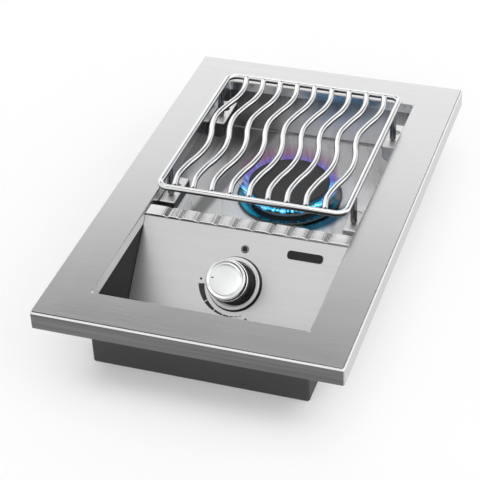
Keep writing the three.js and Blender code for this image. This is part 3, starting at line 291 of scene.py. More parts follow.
class Finish(Nodes):
    """A procedural material on Object coordinates."""

    def __init__(self, name):
        self.material = bpy.data.materials.new(name)
        self.material.use_nodes = True
        super().__init__(self.material.node_tree)
        self.out = self.node("OutputMaterial")
        self.shader = self.node("BsdfPrincipled")
        self.join(self.out.inputs["Surface"], self.shader.outputs[0])
        self.place = self.node("TexCoord").outputs["Object"]

    def parts(self):
        """The X, Y and Z of a point, in metres."""
        return self.split(self.place)

    def round_burner(self):
        """The X and Y of a point from the burner's middle, and its distance from there."""
        x, y, _ = self.parts()
        y = y - settings().burner.middle_y
        return x, y, (x * x + y * y) ** 0.5

    def noise(self, scale=1.0, detail=3.0, rough=0.55, where=None):
        """Noise of about 0 to 1. scale is in waves to the metre, or in waves along X, Y and Z. where is
        another place to read it at, of three values."""
        if where is None:
            scale = scale if isinstance(scale, tuple) else (scale,) * 3
            where = self.node("Mapping", sockets={"Vector": self.place, "Scale": scale})
        else:
            where = self.node("CombineXYZ", sockets=dict(enumerate(where)))
        made = self.node(
            "TexNoise",
            sockets={"Vector": where.outputs[0], "Scale": 1.0, "Detail": detail, "Roughness": rough})
        return Value(self, made.outputs[0])

    def blend(self, share, first, second):
        # Of the sockets that share a name, these are the colour ones
        first_shade, second_shade, result = 6, 7, 2
        made = self.node(
            "Mix", {"data_type": "RGBA", "clamp_factor": True},
            {0: share, first_shade: shade_of(first), second_shade: shade_of(second)})
        return made.outputs[result]

    def ramp(self, share, stops):
        return self.node("ValToRGB", {"stops": stops}, {0: share}).outputs[0]

    def dent(self, height, depth, strength):
        """A bump of that height, 0 to 1, and depth in metres."""
        sockets = {"Height": height, "Distance": depth, "Strength": strength}
        return self.node("Bump", sockets=sockets).outputs[0]

    def surface(self, **sockets):
        for name, value in sockets.items():
            self.join(self.shader.inputs[name.replace("_", " ").title()], value)
        return self.material

    def constant(self, **sockets):
        """Sets numbers that are the same all over, on the shader's own sockets."""
        for name, value in sockets.items():
            self.shader.inputs[name.replace("_", " ")].default_value = value


def shade_of(value):
    if isinstance(value, (bpy.types.NodeSocket, Value)):
        return value
    return (*value, 1.0)


def scaled(shade, factor):
    return tuple(min(1.0, part * factor) for part in shade)


def toned(shade, *stops):
    """Stops of a ramp, from pairs of a place and a factor on the shade."""
    return [(place, scaled(shade, factor)) for place, factor in stops]


# ---- Finishes ----


def brushed_steel(name, shade, roughness, corner=None, side_wall=None, below=None, right_lift=0.0):
    """Satin sheet with its grain from side to side. A frame, given by its upper corner, gets painted shade in
    streaks on its front skirt, a little painted shade on its right skirt and a painted highlight, paler and less
    metallic, on the fold over them. From side_wall outwards the walls are in dark paint. below is the height where
    painted shade along the lower edge starts, where it is darkest and the share of the shade that it keeps.
    right_lift is how much of that painted shade is lost at the right."""
    finish = Finish(name)
    grain = finish.noise((18, 1500, 1500), 4.0, 0.7)
    cloud = finish.noise(6, 2.0)
    mixed = grain * 0.5 + finish.noise((6, 320, 320), 2.0) * 0.35 + cloud * 0.15
    light = finish.ramp(mixed, toned(shade, (0.34, 0.95), (0.5, 1.0), (0.66, 1.035)))
    rough = roughness + (grain - 0.5) * 0.1 + (cloud - 0.5) * 0.04
    x, y, z = finish.parts()
    metal = 1.0
    if corner is not None:
        side, front, top = corner
        ahead = 0.0 - y
        # Painted shade on the front skirt, in streaks
        shaded_skirt = finish.ramp(finish.noise((4, 30, 300), 3.0), toned(shade, (0.3, 0.20), (0.7, 0.31)))
        light = finish.blend(ahead.before(front, 1.6, 0.4), light, shaded_skirt)
        # Painted shade: the right skirt a little darker
        light = finish.blend(x.before(side, 1.6, 0.4), light, scaled(shade, 0.82))
        # Painted highlight on the fold over the skirts: paler and less metallic
        fold = x.before(side, 2.5, 1.5) + ahead.before(front, 2.5, 1.5)
        fold = (fold * z.before(top, 2.2, 1.3)).least(1.0)
        light = finish.blend(fold, light, (0.86, 0.86, 0.86))
        metal = 1.0 - fold * 0.75
    if below is not None:
        start, end, share = below
        # Painted shade along the lower edge, weaker towards the right
        dark = z.step(start, end) * (1.0 - x.step(0.0, 0.13) * right_lift)
        light = finish.blend(dark, light, scaled(shade, share))
    if side_wall is not None:
        wall = abs(x).before(side_wall, 1.2, 0.4)
        paint = finish.ramp(cloud, [(0.3, (0.008, 0.0077, 0.008)), (0.7, (0.015, 0.0144, 0.015))])
        light = finish.blend(wall, light, paint)
        rough = rough * (1.0 - wall) + wall * 0.42
        metal = 1.0 - wall
        finish.constant(Specular_IOR_Level=0.06)
    return finish.surface(
        base_color=light, metallic=metal, roughness=rough, normal=finish.dent(grain, 0.00003, 0.2))


def polished_steel(name, shade):
    """Bowl sheet: bright, with a fine grain from side to side that draws reflections out and wide polishing
    streaks. The floor is made paler and less metallic in streaks, a painted reflection of the sky, with dark bands
    across it. Painted shade darkens the walls, the back left corner and the bend under the back wall, and a cyan
    patch beside the burner is a painted reflection of the flames."""
    back_wall, floor_foot = (0.24, 0.2447), (0.026, 0.0225)
    darker_steel = scaled(shade, 0.16)
    finish = Finish(name)
    cloud = finish.noise((7, 5, 5), 2.0)
    grain = finish.noise((9, 1100, 1100), 2.0, 0.6)
    x, y, z = finish.parts()
    _, _, reach = finish.round_burner()
    across, ahead = x * 0.94 + y * 0.34, y * 0.94 - x * 0.34
    streaks = finish.noise(rough=0.6, where=(across * 62.0, ahead * 3.0, z * 3.0))
    haze = reach.step(0.13, 0.066)
    base = finish.ramp(cloud * 0.3 + streaks * 0.7, toned(shade, (0.32, 0.72), (0.5, 0.98), (0.66, 1.08)))
    tone = finish.blend(haze * 0.3, base, (shade[0] * 0.96, shade[1] * 0.92, shade[2] * 0.87))
    # Painted shade: the side walls, the back wall and the back left corner are darkened in streaks, and the bend
    # under the back wall in a thin line
    sides = abs(x).step(0.124, 0.1285) * z.step(0.035, 0.072)
    back = y.step(*back_wall) * (0.34 + x.step(0.02, -0.10) * 0.24 + z.step(0.045, 0.085) * 0.5)
    bend_shade = y.step(0.2434, 0.2441) * z.step(0.0240, 0.0232) * x.step(-0.07, -0.03)
    corner = y.step(0.13, 0.215) * x.step(-0.045, -0.11) * (1.0 - y.step(*back_wall))
    dull = ((sides * 0.62 + back + corner * 0.72) * (0.3 + streaks * 1.35) + bend_shade * 0.5).least(0.94)
    tone = finish.blend(dull, tone, darker_steel)
    # Painted reflection of the flames: a cyan patch on the floor before the burner and to its right
    flame_reflection = reach.step(0.095, 0.080) * x.step(0.015, 0.04) * y.step(0.108, 0.085) * z.step(0.03, 0.024)
    tone = finish.blend(flame_reflection * 0.95, tone, (0.006, 0.10, 0.135))
    # Painted reflection of the sky: the floor is paler in streaks and less metallic, outside the cyan patch
    floor = z.step(*floor_foot) * y.step(0.22, 0.12) * (1.0 - flame_reflection)
    tone = finish.blend(floor * ((streaks - 0.30) * 4.2).most(0.0), tone, (1.0, 0.99, 0.98))
    # Dark diagonal bands across the floor, the second one fainter and only further back
    lean = x * 0.986 - y * 0.166 + (cloud - 0.5) * 0.012
    far_band = abs(lean + 0.092).step(0.012, 0.004) * y.step(0.08, 0.13)
    bands = abs(lean + 0.109).step(0.014, 0.005) + far_band * 0.35
    bands = (bands * y.step(-0.045, 0.0) * z.step(*floor_foot)).least(1.0)
    tone = finish.blend(bands * 0.72, tone, darker_steel)
    rough = 0.28 + (streaks - 0.5) * 0.12 + haze * 0.04 + dull * 0.06
    return finish.surface(
        base_color=tone, metallic=1.0 - floor * 0.8, roughness=rough,
        normal=finish.dent(grain, 0.00005, 0.7))


def bright_chrome(name, shade, roughness, below=None, shaded_front=None, metal=1.0):
    """Plated metal with a faint ripple and dulled patches. Below a height (where it starts, where it ends) it can
    be darkened with painted shade. shaded_front is the front of a ring whose painted shade reaches higher up at
    its right, with those two heights."""
    finish = Finish(name)
    ripple = finish.noise(60, 2.0)
    specks = finish.noise(420)
    tone = finish.ramp(ripple * 0.6 + specks * 0.4, toned(shade, (0.3, 0.9), (0.65, 1.0)))
    if below is not None:
        x, y, z = finish.parts()
        # Painted shade on the underside, reaching higher at the front right of a ring
        dark = z.step(*below)
        if shaded_front is not None:
            front, start, end = shaded_front
            at_front = y.step(front + 0.012, front + 0.006)
            dark = dark.most(z.step(start, end) * x.step(-0.02, 0.06) * at_front)
        tone = finish.blend(dark, tone, scaled(shade, 0.07))
    finish.constant(Metallic=metal)
    return finish.surface(
        base_color=tone, roughness=roughness + (specks - 0.4).most(0.0) * 0.2,
        normal=finish.dent(ripple, 0.00003, 0.2))


def painted_sheet(name, shade):
    """Grey powder paint: fine orange peel, slight chalking towards the floor."""
    finish = Finish(name)
    peel, cloud = finish.noise(700, 2.0), finish.noise(12)
    z = finish.parts()[2]
    tone = finish.ramp(cloud * 0.7 + peel * 0.3, toned(shade, (0.3, 0.86), (0.7, 1.12)))
    tone = finish.blend((1.0 - z.step(0.0, 0.02)) * cloud * 0.3, tone, scaled(shade, 1.8))
    return finish.surface(
        base_color=tone, roughness=0.46 + cloud * 0.14, normal=finish.dent(peel, 0.00006, 0.35))


def glossy_enamel(name, shade):
    """Dish of the burner: glossy black enamel, uneven from firing. A painted reflection of the flames runs in cyan
    along the foot of its rim, toothed, and brighter at its left."""
    finish = Finish(name)
    flow = finish.noise(55, 2.0)
    tone = finish.ramp(flow, toned(shade, (0.35, 0.75), (0.7, 1.5)))
    x, y, reach = finish.round_burner()
    # Painted reflection of the flames along the foot of the rim, in toothed marks, brighter at the left
    foot = reach.step(0.0585, 0.0615) * reach.step(0.0668, 0.0652) * y.step(0.0, -0.025)
    waves = (x / reach * 24.0, y / reach * 24.0, reach * 30.0)
    reflected_flame_teeth = finish.noise(detail=1.0, where=waves).step(0.40, 0.56)
    left = x.step(-0.02, -0.055)
    tone = finish.blend(foot * (reflected_flame_teeth * 0.8 + left).least(1.0), tone, (0.0, 0.16, 0.24))
    tone = finish.blend(foot * left * 0.8, tone, (0.0, 0.45, 0.58))
    finish.constant(Specular_IOR_Level=1.0)
    return finish.surface(
        base_color=tone, roughness=0.07 + finish.noise(500, 2.0) * 0.1,
        normal=finish.dent(flow, 0.0003, 0.25))


def grained(name, stops, fine, wide, mix, rough, bump=None, metal=0.0, specular=0.5):
    """A finish out of two noises, each given by its waves to the metre and its detail. mix is the fine
    one's share in the tone. rough is the least roughness and what each noise adds to it. bump is the depth
    and the strength of the fine one's dents."""
    finish = Finish(name)
    small = finish.noise(*fine)
    large = finish.noise(*wide) if wide else small
    least, by_small, by_large = rough
    finish.constant(Metallic=metal, Specular_IOR_Level=specular)
    finish.surface(
        base_color=finish.ramp(small * mix + large * (1.0 - mix), stops),
        roughness=least + small * by_small + large * by_large)
    if bump:
        finish.surface(normal=finish.dent(small, *bump))
    return finish.material


def matt_enamel(name, shade):
    """Burner cap: matt enamel with fine pits and clouds."""
    return grained(
        name, toned(shade, (0.3, 0.84), (0.7, 1.2)), (900, 3.0), (40, 3.0), 0.5, (0.52, 0.2, 0.0),
        (0.00008, 0.4))


def moulded_plastic(name, shade, roughness=0.24):
    """Moulded part: fine texture, faint flow marks and rubbed spots."""
    return grained(
        name, toned(shade, (0.3, 0.8), (0.75, 1.5)), (1200, 2.0), (90, 3.0), 0.0, (roughness, 0.0, 0.14),
        (0.00003, 0.3), specular=0.28)


def cast_metal(name, shade):
    """Sand cast metal: grainy skin, darker in its hollows."""
    return grained(
        name, toned(shade, (0.3, 0.7), (0.55, 1.0), (0.75, 1.2)), (650, 4.0), (60, 2.0), 0.6,
        (0.36, 0.18, 0.0), (0.00012, 0.5), metal=1.0)


def printed_black(name):
    """Print on the panel: thin black ink that lets a little grain through."""
    inks = [(0.35, (0.012, 0.012, 0.013)), (0.75, (0.05, 0.05, 0.052))]
    return grained(name, inks, ((14, 900, 900), 3.0), None, 1.0, (0.34, 0.2, 0.0))


def weld_metal(name):
    """Weld bead: rippled metal with a burnt edge."""
    burns = [(0.35, (0.02, 0.018, 0.016)), (0.75, (0.12, 0.11, 0.10))]
    return grained(name, burns, (800, 2.0), None, 1.0, (0.4, 0.2, 0.0), (0.0002, 0.5), metal=1.0)


def turned_brass(name, shade):
    """Machined fitting with tool rings and a little tarnish."""
    finish = Finish(name)
    rings = finish.noise((300, 900, 900), 2.0)
    tarnish = finish.noise(70).step(0.5, 0.75) * 0.5
    finish.constant(Metallic=1.0)
    return finish.surface(
        base_color=finish.blend(tarnish, shade, (shade[0] * 0.5, shade[1] * 0.42, shade[2] * 0.5)),
        roughness=0.24 + rings * 0.16, normal=finish.dent(rings, 0.00004, 0.3))


def glazed_ceramic(name, shade):
    """White ceramic with a soot tinge towards its top."""
    finish = Finish(name)
    grain = finish.noise(500, 2.0)
    soot = finish.parts()[2].step(0.024, 0.034) * grain
    return finish.surface(
        base_color=finish.blend(soot * 0.8, shade, (0.12, 0.11, 0.10)), roughness=0.2 + grain * 0.2,
        normal=finish.dent(grain, 0.00004, 0.3))


def flame_light(name, stops, start, end, density, strength, upwards=False):
    """Gas flame: its colours run outwards from the ports, or upwards, in fine streaks that thin out."""
    finish = Finish(name)
    x, y, reach = finish.round_burner()
    course = finish.parts()[2] if upwards else reach
    behind = y.step(-0.04, 0.0) if upwards else 1.0
    share = ((course - start) / (end - start)).most(0.0).least(1.0)
    streaks = finish.noise(where=(x / reach * 22.0, y / reach * 22.0, course * 40.0))
    patches = finish.noise(detail=1.0, where=(x / reach * 5.0, y / reach * 5.0, course * 20.0))
    depth = 0.35 if upwards else 0.7
    alpha = (1.0 - share) ** 1.2 * (streaks.step(0.32, 0.62) * depth + (1.0 - depth))
    alpha = (alpha * (patches + 0.5) * density * behind).least(1.0)
    finish.constant(
        Base_Color=(0, 0, 0, 1), Roughness=1.0, Specular_IOR_Level=0.0, Emission_Strength=strength)
    return finish.surface(emission_color=finish.ramp(share, stops), alpha=alpha)


FINISHES = {}


def finish_of(slot):
    """The finish of a material slot. It is made when it is first asked for."""
    if slot not in FINISHES:
        shades = settings().colours
        satin, chrome, cast = shades.satin_steel, shades.chrome, shades.cast_aluminium
        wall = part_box("trough_liner")[1][0] - settings().sheet.liner_sheet
        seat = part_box("grate_bracket_front_left")[1][2]
        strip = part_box("vent_strip")[1][2]
        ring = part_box("grate_frame_rod")
        rods = (ring[0][2] + ring[1][2]) / 2
        makers = {
            "satin_steel": lambda: brushed_steel("satin_steel_panel", tuple(satin), 0.34),
            # Frame: painted shade on the skirts and a painted highlight on the fold over them
            "frame_steel": lambda: brushed_steel(
                "satin_steel_frame", tuple(satin), 0.2, corner=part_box("top_frame")[1]),
            # Brackets: a lighter copy of the satin finish as painted light, with painted shade along their lower
            # edge
            "bracket_steel": lambda: brushed_steel(
                "satin_steel_bracket_painted_light_and_shade", scaled(satin, 1.45), 0.45,
                below=(seat - 0.8 * MM, seat - 1.6 * MM, 0.08), right_lift=0.55),
            # Vent strip: a lighter copy of the satin finish as painted light, with painted shade in its grooves
            # and down its edges
            "strip_steel": lambda: brushed_steel(
                "satin_steel_strip_painted_light_and_shade", scaled(satin, 1.42), 0.26,
                below=(strip - 0.3 * MM, strip - 1.7 * MM, 0.66)),
            "trough_steel": lambda: brushed_steel("satin_steel_trough", tuple(satin), 0.34, side_wall=wall),
            "polished_steel": lambda: polished_steel("polished_steel_bowl", tuple(shades.polished_steel)),
            # Painted shade on the rods' undersides; on the frame rod it reaches higher at its front right
            "chrome": lambda: bright_chrome(
                "chrome_rods", tuple(chrome), 0.12, (rods + 1.2 * MM, rods + 0.6 * MM)),
            "rim_chrome": lambda: bright_chrome(
                "chrome_rim", tuple(chrome), 0.12, (rods + 2.2 * MM, rods - 1.0 * MM),
                (ring[0][1], rods + 2.7 * MM, rods + 1.5 * MM)),
            "knob_chrome": lambda: bright_chrome("chrome_knob", tuple(chrome), 0.16),
            # The legs get a darker copy of the chrome: painted shade
            "leg_chrome": lambda: bright_chrome("chrome_legs_painted_shade", scaled(chrome, 0.2), 0.16),
            # The bezel ring is near white and only partly metallic: a painted highlight
            "satin_ring": lambda: bright_chrome("chrome_ring_painted_highlight", (0.97, 0.97, 0.975), 0.42, metal=0.4),
            "grey_paint": lambda: painted_sheet("grey_paint_casing", tuple(shades.grey_paint)),
            "black_enamel": lambda: matt_enamel("black_enamel_cap", tuple(shades.black_enamel)),
            "cast_iron": lambda: glossy_enamel("black_enamel_dish", tuple(shades.dish_enamel)),
            "black_plastic": lambda: moulded_plastic("black_plastic", tuple(shades.black_plastic)),
            "cast_aluminium": lambda: cast_metal("cast_aluminium", tuple(cast)),
            # The crown gets a darker copy of cast aluminium: painted shade under the cap's overhang
            "crown_metal": lambda: cast_metal("cast_aluminium_crown_painted_shade", scaled(cast, 0.34)),
            "brass": lambda: turned_brass("brass", tuple(shades.brass)),
            "ceramic": lambda: glazed_ceramic("ceramic", tuple(shades.ceramic)),
            "grey_plastic": lambda: moulded_plastic("grey_plastic", tuple(shades.grey_plastic), 0.4),
            "print": lambda: printed_black("print_black"),
            "weld": lambda: weld_metal("weld_bead"),
        }
        FINISHES[slot] = makers[slot]()
    return FINISHES[slot]


# ---- Modelling by hand, in code ----


MERGE = 0.002 * MM


def start_clean():
    """Object mode, with nothing selected."""
    active = bpy.context.view_layer.objects.active
    if active is not None and active.mode != "OBJECT":
        bpy.ops.object.mode_set(mode="OBJECT")
    bpy.ops.object.select_all(action="DESELECT")


def activate(*pieces):
    """Object mode, with only these pieces selected and the first one active."""
    start_clean()
    for piece in pieces:
        piece.select_set(True)
    bpy.context.view_layer.objects.active = pieces[0]


def edit():
    bpy.ops.object.mode_set(mode="EDIT")


def pick(kind, test):
    """In edit mode, selects the vertices, edges or faces for which the test holds."""
    bpy.ops.mesh.select_mode(type=kind)
    bpy.ops.mesh.select_all(action="DESELECT")
    mesh = bpy.context.object.data
    form = bmesh.from_edit_mesh(mesh)
    items = {"VERT": form.verts, "EDGE": form.edges, "FACE": form.faces}[kind]
    found = [item for item in items if test(item)]
    for item in found:
        item.select_set(True)
    form.select_flush_mode()
    bmesh.update_edit_mesh(mesh)
    if not found:
        raise RuntimeError("nothing was found to select on " + bpy.context.object.name)


def extrude(x=0.0, y=0.0, z=0.0):
    bpy.ops.mesh.extrude_region_move(TRANSFORM_OT_translate={"value": (x, y, z)})


def bevel(radius, segments=4):
    bpy.ops.mesh.bevel(offset=radius, segments=segments, profile=0.5, affect="EDGES")


def block(low, high):
    """A cube primitive that fills the box from low to high, left in edit mode."""
    start_clean()
    middle = [(a + b) / 2 for a, b in zip(low, high)]
    size = [b - a for a, b in zip(low, high)]
    bpy.ops.mesh.primitive_cube_add(size=1, location=middle, scale=size)
    bpy.ops.object.transform_apply()
    edit()


def drawn(points):
    """One vertex drawn out from point to point, in millimetres, and left selected in edit mode."""
    start_clean()
    bpy.ops.mesh.primitive_plane_add(size=MM)
    edit()
    bpy.ops.mesh.select_mode(type="VERT")
    bpy.ops.mesh.select_all(action="SELECT")
    bpy.ops.mesh.merge(type="CENTER")
    bpy.ops.transform.translate(value=Vector(points[0]) * MM)
    for here, there in zip(points, points[1:]):
        extrude(*((Vector(there) - Vector(here)) * MM))
    bpy.ops.mesh.select_all(action="SELECT")


def turned(profile, steps=96):
    """Spins a profile of (radius, height) points, in millimetres, round the Z axis."""
    drawn([(radius, 0, height) for radius, height in profile])
    bpy.ops.mesh.spin(steps=steps, angle=FULL_TURN, center=(0, 0, 0), axis=(0, 0, 1))
    close_up()


def filled(outline, height):
    """A flat piece inside an outline of points, in millimetres, made that high."""
    drawn([*outline, outline[0]])
    bpy.ops.mesh.remove_doubles(threshold=MERGE)
    bpy.ops.mesh.edge_face_add()
    extrude(z=height * MM)
    close_up()


def outward():
    """Turns the faces outwards and leaves edit mode."""
    bpy.ops.mesh.select_all(action="SELECT")
    bpy.ops.mesh.normals_make_consistent(inside=False)
    bpy.ops.object.mode_set(mode="OBJECT")


def close_up():
    """Merges what meets, turns the faces outwards and leaves edit mode."""
    bpy.ops.mesh.select_all(action="SELECT")
    bpy.ops.mesh.remove_doubles(threshold=MERGE)
    outward()


def rounded(corner, radius, start, end, steps=5):
    """Points of a rounded edge of a profile: the arc from one angle, in degrees, to another."""
    points = []
    for step in range(steps + 1):
        angle = math.radians(start + (end - start) * step / steps)
        points.append((corner[0] + radius * math.cos(angle), corner[1] + radius * math.sin(angle)))
    return points


def rod(points, radius, closed=False, fine=4, taper=None):
    """A round rod along points, in metres, from a bevelled curve. taper holds its share of the radius at
    each point."""
    start_clean()
    bpy.ops.curve.primitive_bezier_curve_add()
    curve = bpy.context.object.data
    curve.splines.clear()
    line = curve.splines.new("POLY")
    line.points.add(len(points) - 1)
    for i, (vertex, point) in enumerate(zip(line.points, points)):
        vertex.co = (*point, 1.0)
        vertex.radius = taper[i] if taper else 1.0
    line.use_cyclic_u = closed
    curve.dimensions = "3D"
    curve.bevel_depth = radius
    curve.bevel_resolution = fine
    curve.use_fill_caps = not closed
    bpy.ops.object.convert(target="MESH")
    edit()
    close_up()


def joined(pieces):
    """One piece from several."""
    activate(*pieces)
    bpy.ops.object.join()
    return bpy.context.object


def drilled(piece, drill):
    """Cuts the drill out of the piece, and takes the drill away."""
    activate(piece)
    modify("BOOLEAN", operation="DIFFERENCE", object=drill, solver="EXACT")
    bpy.data.objects.remove(drill)


def modify(kind, **options):
    """Adds a modifier to the active piece and applies it."""
    bpy.ops.object.modifier_add(type=kind)
    modifier = bpy.context.object.modifiers[-1]
    for key, value in options.items():
        setattr(modifier, key, value)
    bpy.ops.object.modifier_apply(modifier=modifier.name)


def thickened(thickness, offset):
    """Leaves edit mode with a sheet of that thickness, in or out from the faces that were modelled."""
    outward()
    modify("SOLIDIFY", thickness=thickness, offset=offset)


def hand_over(piece, body, replaced=()):
    """Tells the frame which body carries the piece and the CAD nodes it replaces."""
    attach(piece, body)
    if replaced:
        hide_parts(*replaced)


def settle(name, body, finish, replaced=(), place=None, angle=32, even=True):
    """Puts the active piece in place and gives it its name, finish and body. angle is where its edges turn
    sharp, in degrees."""
    piece = bpy.context.object
    if piece.mode != "OBJECT":
        bpy.ops.object.mode_set(mode="OBJECT")
    if place is not None:
        piece.matrix_world = place @ piece.matrix_world
    bpy.ops.object.transform_apply()
    piece.name = name
    piece.data.name = name
    piece.data.materials.clear()
    piece.data.materials.append(finish_of(finish) if isinstance(finish, str) else finish)
    bpy.ops.object.shade_smooth_by_angle(angle=math.radians(angle))
    if even:
        modify("WEIGHTED_NORMAL", keep_sharp=True, weight=100)
    hand_over(piece, body, replaced)
    return piece


def copy_of(piece, name, shift=(0, 0, 0), turn=0.0):
    """A copy with its own mesh, turned round the Z axis and moved by the shift."""
    activate(piece)
    bpy.ops.object.duplicate(linked=False)
    twin = bpy.context.object
    twin.data.transform(Matrix.Translation(shift) @ Matrix.Rotation(turn, 4, "Z"))
    twin.name = name
    twin.data.name = name
    return twin


def panel_place(side=0.0, up=0.0):
    """The turn and place of a piece on the panel: its Z leaves the panel at that point."""
    knob = next(joint for joint in frame["joints"] if joint["name"] == "knob_turn")
    turn = Matrix.Rotation(settings().knob.slope, 4, "X")
    return Matrix.Translation(Vector(knob["pos_m"])) @ turn @ Matrix.Translation((side, up, 0))


def near(a, b, slack=0.4 * MM):
    return abs(a - b) < slack


def upright(edge):
    a, b = edge.verts
    return near(a.co.x, b.co.x) and near(a.co.y, b.co.y)


def level_at(edge, height, slack=0.4 * MM):
    return all(near(v.co.z, height, slack) for v in edge.verts)


def catmull(points, steps):
    """A smooth line through points, with centripetal spacing and mirrored ends."""
    points = [Vector(point) for point in points]
    padded = [2 * points[0] - points[1], *points, 2 * points[-1] - points[-2]]
    line = []
    for p0, p1, p2, p3 in zip(padded, padded[1:], padded[2:], padded[3:]):
        t1 = (p1 - p0).length ** 0.5
        t2 = t1 + (p2 - p1).length ** 0.5
        t3 = t2 + (p3 - p2).length ** 0.5
        for step in range(steps):
            t = t1 + (t2 - t1) * step / steps
            a1 = p0 * ((t1 - t) / t1) + p1 * (t / t1)
            a2 = p1 * ((t2 - t) / (t2 - t1)) + p2 * ((t - t1) / (t2 - t1))
            a3 = p2 * ((t3 - t) / (t3 - t2)) + p3 * ((t - t2) / (t3 - t2))
            b1 = a1 * ((t2 - t) / t2) + a2 * (t / t2)
            b2 = a2 * ((t3 - t) / (t3 - t1)) + a3 * ((t - t1) / (t3 - t1))
            line.append(b1 * ((t2 - t) / (t2 - t1)) + b2 * ((t - t1) / (t2 - t1)))
    line.append(points[-1])
    return line


# ---- Operators: one for each piece or group of like pieces ----


class SIDEBURNER_OT_top_frame(bpy.types.Operator):
    """Top frame: flat border, folded skirt with its hem, and the lip round the opening"""

    bl_idname = "sideburner.top_frame"
    bl_label = "Top frame"

    # Radii of its corners, and how far from them the edge of the border can lie
    outer_corner, opening_corner, edge_zone = 3 * MM, 5 * MM, 4 * MM

    def execute(self, context):
        sizes = settings().sheet
        low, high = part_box("top_frame")
        half_x, half_y, top = high
        start_clean()
        bpy.ops.mesh.primitive_plane_add(size=1, location=(0, 0, top))
        bpy.context.object.scale = (2 * half_x, 2 * half_y, 1)
        bpy.ops.object.transform_apply()
        edit()
        bpy.ops.mesh.select_all(action="SELECT")
        bpy.ops.mesh.inset(thickness=sizes.side_border, depth=0)
        in_x, in_y = half_x - sizes.side_border, half_y - sizes.side_border
        pick("FACE", lambda f: all(abs(v.co.x) < in_x + MM and abs(v.co.y) < in_y + MM for v in f.verts))
        bpy.ops.transform.resize(
            value=(1, (half_y - sizes.end_border) / in_y, 1), center_override=(0, 0, top))
        bpy.ops.mesh.delete(type="ONLY_FACE")

        def outer(v):
            return near(abs(v.co.x), half_x) or near(abs(v.co.y), half_y)

        pick("EDGE", lambda e: len(e.link_faces) == 1 and all(outer(v) for v in e.verts))
        extrude(z=low[2] - top)
        extrude()
        hem = sizes.hem
        bpy.ops.transform.resize(
            value=((half_x - hem) / half_x, (half_y - hem) / half_y, 1), center_override=(0, 0, low[2]))
        pick("EDGE", lambda e: len(e.link_faces) == 1 and level_at(e, top))
        extrude(z=-sizes.lip_drop)
        pick("EDGE", lambda e: upright(e) and outer(e.verts[0]))
        bevel(self.outer_corner)
        pick("EDGE", lambda e: upright(e) and not outer(e.verts[0]))
        bevel(self.opening_corner, 5)

        def at_top(e):
            return len(e.link_faces) == 2 and level_at(e, top) and any(
                abs(f.normal.z) < 0.5 for f in e.link_faces)

        def inside(v):
            return abs(v.co.x) < half_x - self.edge_zone and abs(v.co.y) < half_y - self.edge_zone

        pick("EDGE", lambda e: at_top(e) and not any(inside(v) for v in e.verts))
        bevel(sizes.frame_bend, 5)
        pick("EDGE", lambda e: at_top(e) and all(inside(v) for v in e.verts))
        bevel(sizes.lip_bend)
        thickened(sizes.frame_sheet, -1)
        settle("frame_sheet", "housing", "frame_steel", ["top_frame"])
        return {"FINISHED"}


class SIDEBURNER_OT_bowl(bpy.types.Operator):
    """Burner bowl: polished tub with bent corners and a raised front wall"""

    bl_idname = "sideburner.bowl"
    bl_label = "Burner bowl"

    neck_hole_radius, drill_length = 13.5 * MM, 20 * MM

    def execute(self, context):
        sizes = settings().sheet
        sheet = sizes.liner_sheet
        low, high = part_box("burner_bowl")
        trough_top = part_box("trough_liner")[1][2]
        inner_low = (low[0] + sheet, low[1] + sheet, low[2] + sheet)
        inner_high = (high[0] - sheet, high[1] - sheet, trough_top)
        block(inner_low, inner_high)
        pick("FACE", lambda f: f.normal.z > 0.5)
        bpy.ops.mesh.delete(type="ONLY_FACE")
        pick("EDGE", lambda e: not level_at(e, trough_top))
        bevel(sizes.liner_bend, 5)
        pick("EDGE", lambda e: level_at(e, trough_top) and all(near(v.co.y, inner_low[1]) for v in e.verts))
        extrude(z=high[2] - trough_top)
        thickened(sheet, 1)
        bowl = context.object
        start_clean()
        bpy.ops.mesh.primitive_cylinder_add(
            vertices=48, radius=self.neck_hole_radius, depth=self.drill_length,
            location=(0, settings().burner.middle_y, low[2]))
        drilled(bowl, context.object)
        settle("bowl_pressing", "housing", "polished_steel", ["burner_bowl"])
        return {"FINISHED"}


class SIDEBURNER_OT_trough(bpy.types.Operator):
    """Trough before the panel: floor, front wall and side walls that follow the panel's slope"""

    bl_idname = "sideburner.trough"
    bl_label = "Trough"

    reach_under_panel = 8 * MM

    def execute(self, context):
        sizes = settings().sheet
        sheet = sizes.liner_sheet
        low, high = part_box("trough_liner")
        foot_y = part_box("control_panel")[0][1] + self.reach_under_panel
        inner_low = (low[0] + sheet, low[1] + sheet, low[2] + sheet)
        inner_high = (high[0] - sheet, high[1], high[2])
        block(inner_low, inner_high)
        pick("FACE", lambda f: f.normal.z > 0.5 or f.normal.y > 0.5)
        bpy.ops.mesh.delete(type="ONLY_FACE")
        pick("VERT", lambda v: near(v.co.y, inner_high[1]) and near(v.co.z, inner_low[2]))
        bpy.ops.transform.translate(value=(0, foot_y - inner_high[1], 0))
        pick("EDGE", lambda e: len(e.link_faces) == 2)
        bevel(sizes.liner_bend, 5)
        thickened(sheet, 1)
        settle("trough_pressing", "housing", "trough_steel", ["trough_liner"])
        return {"FINISHED"}


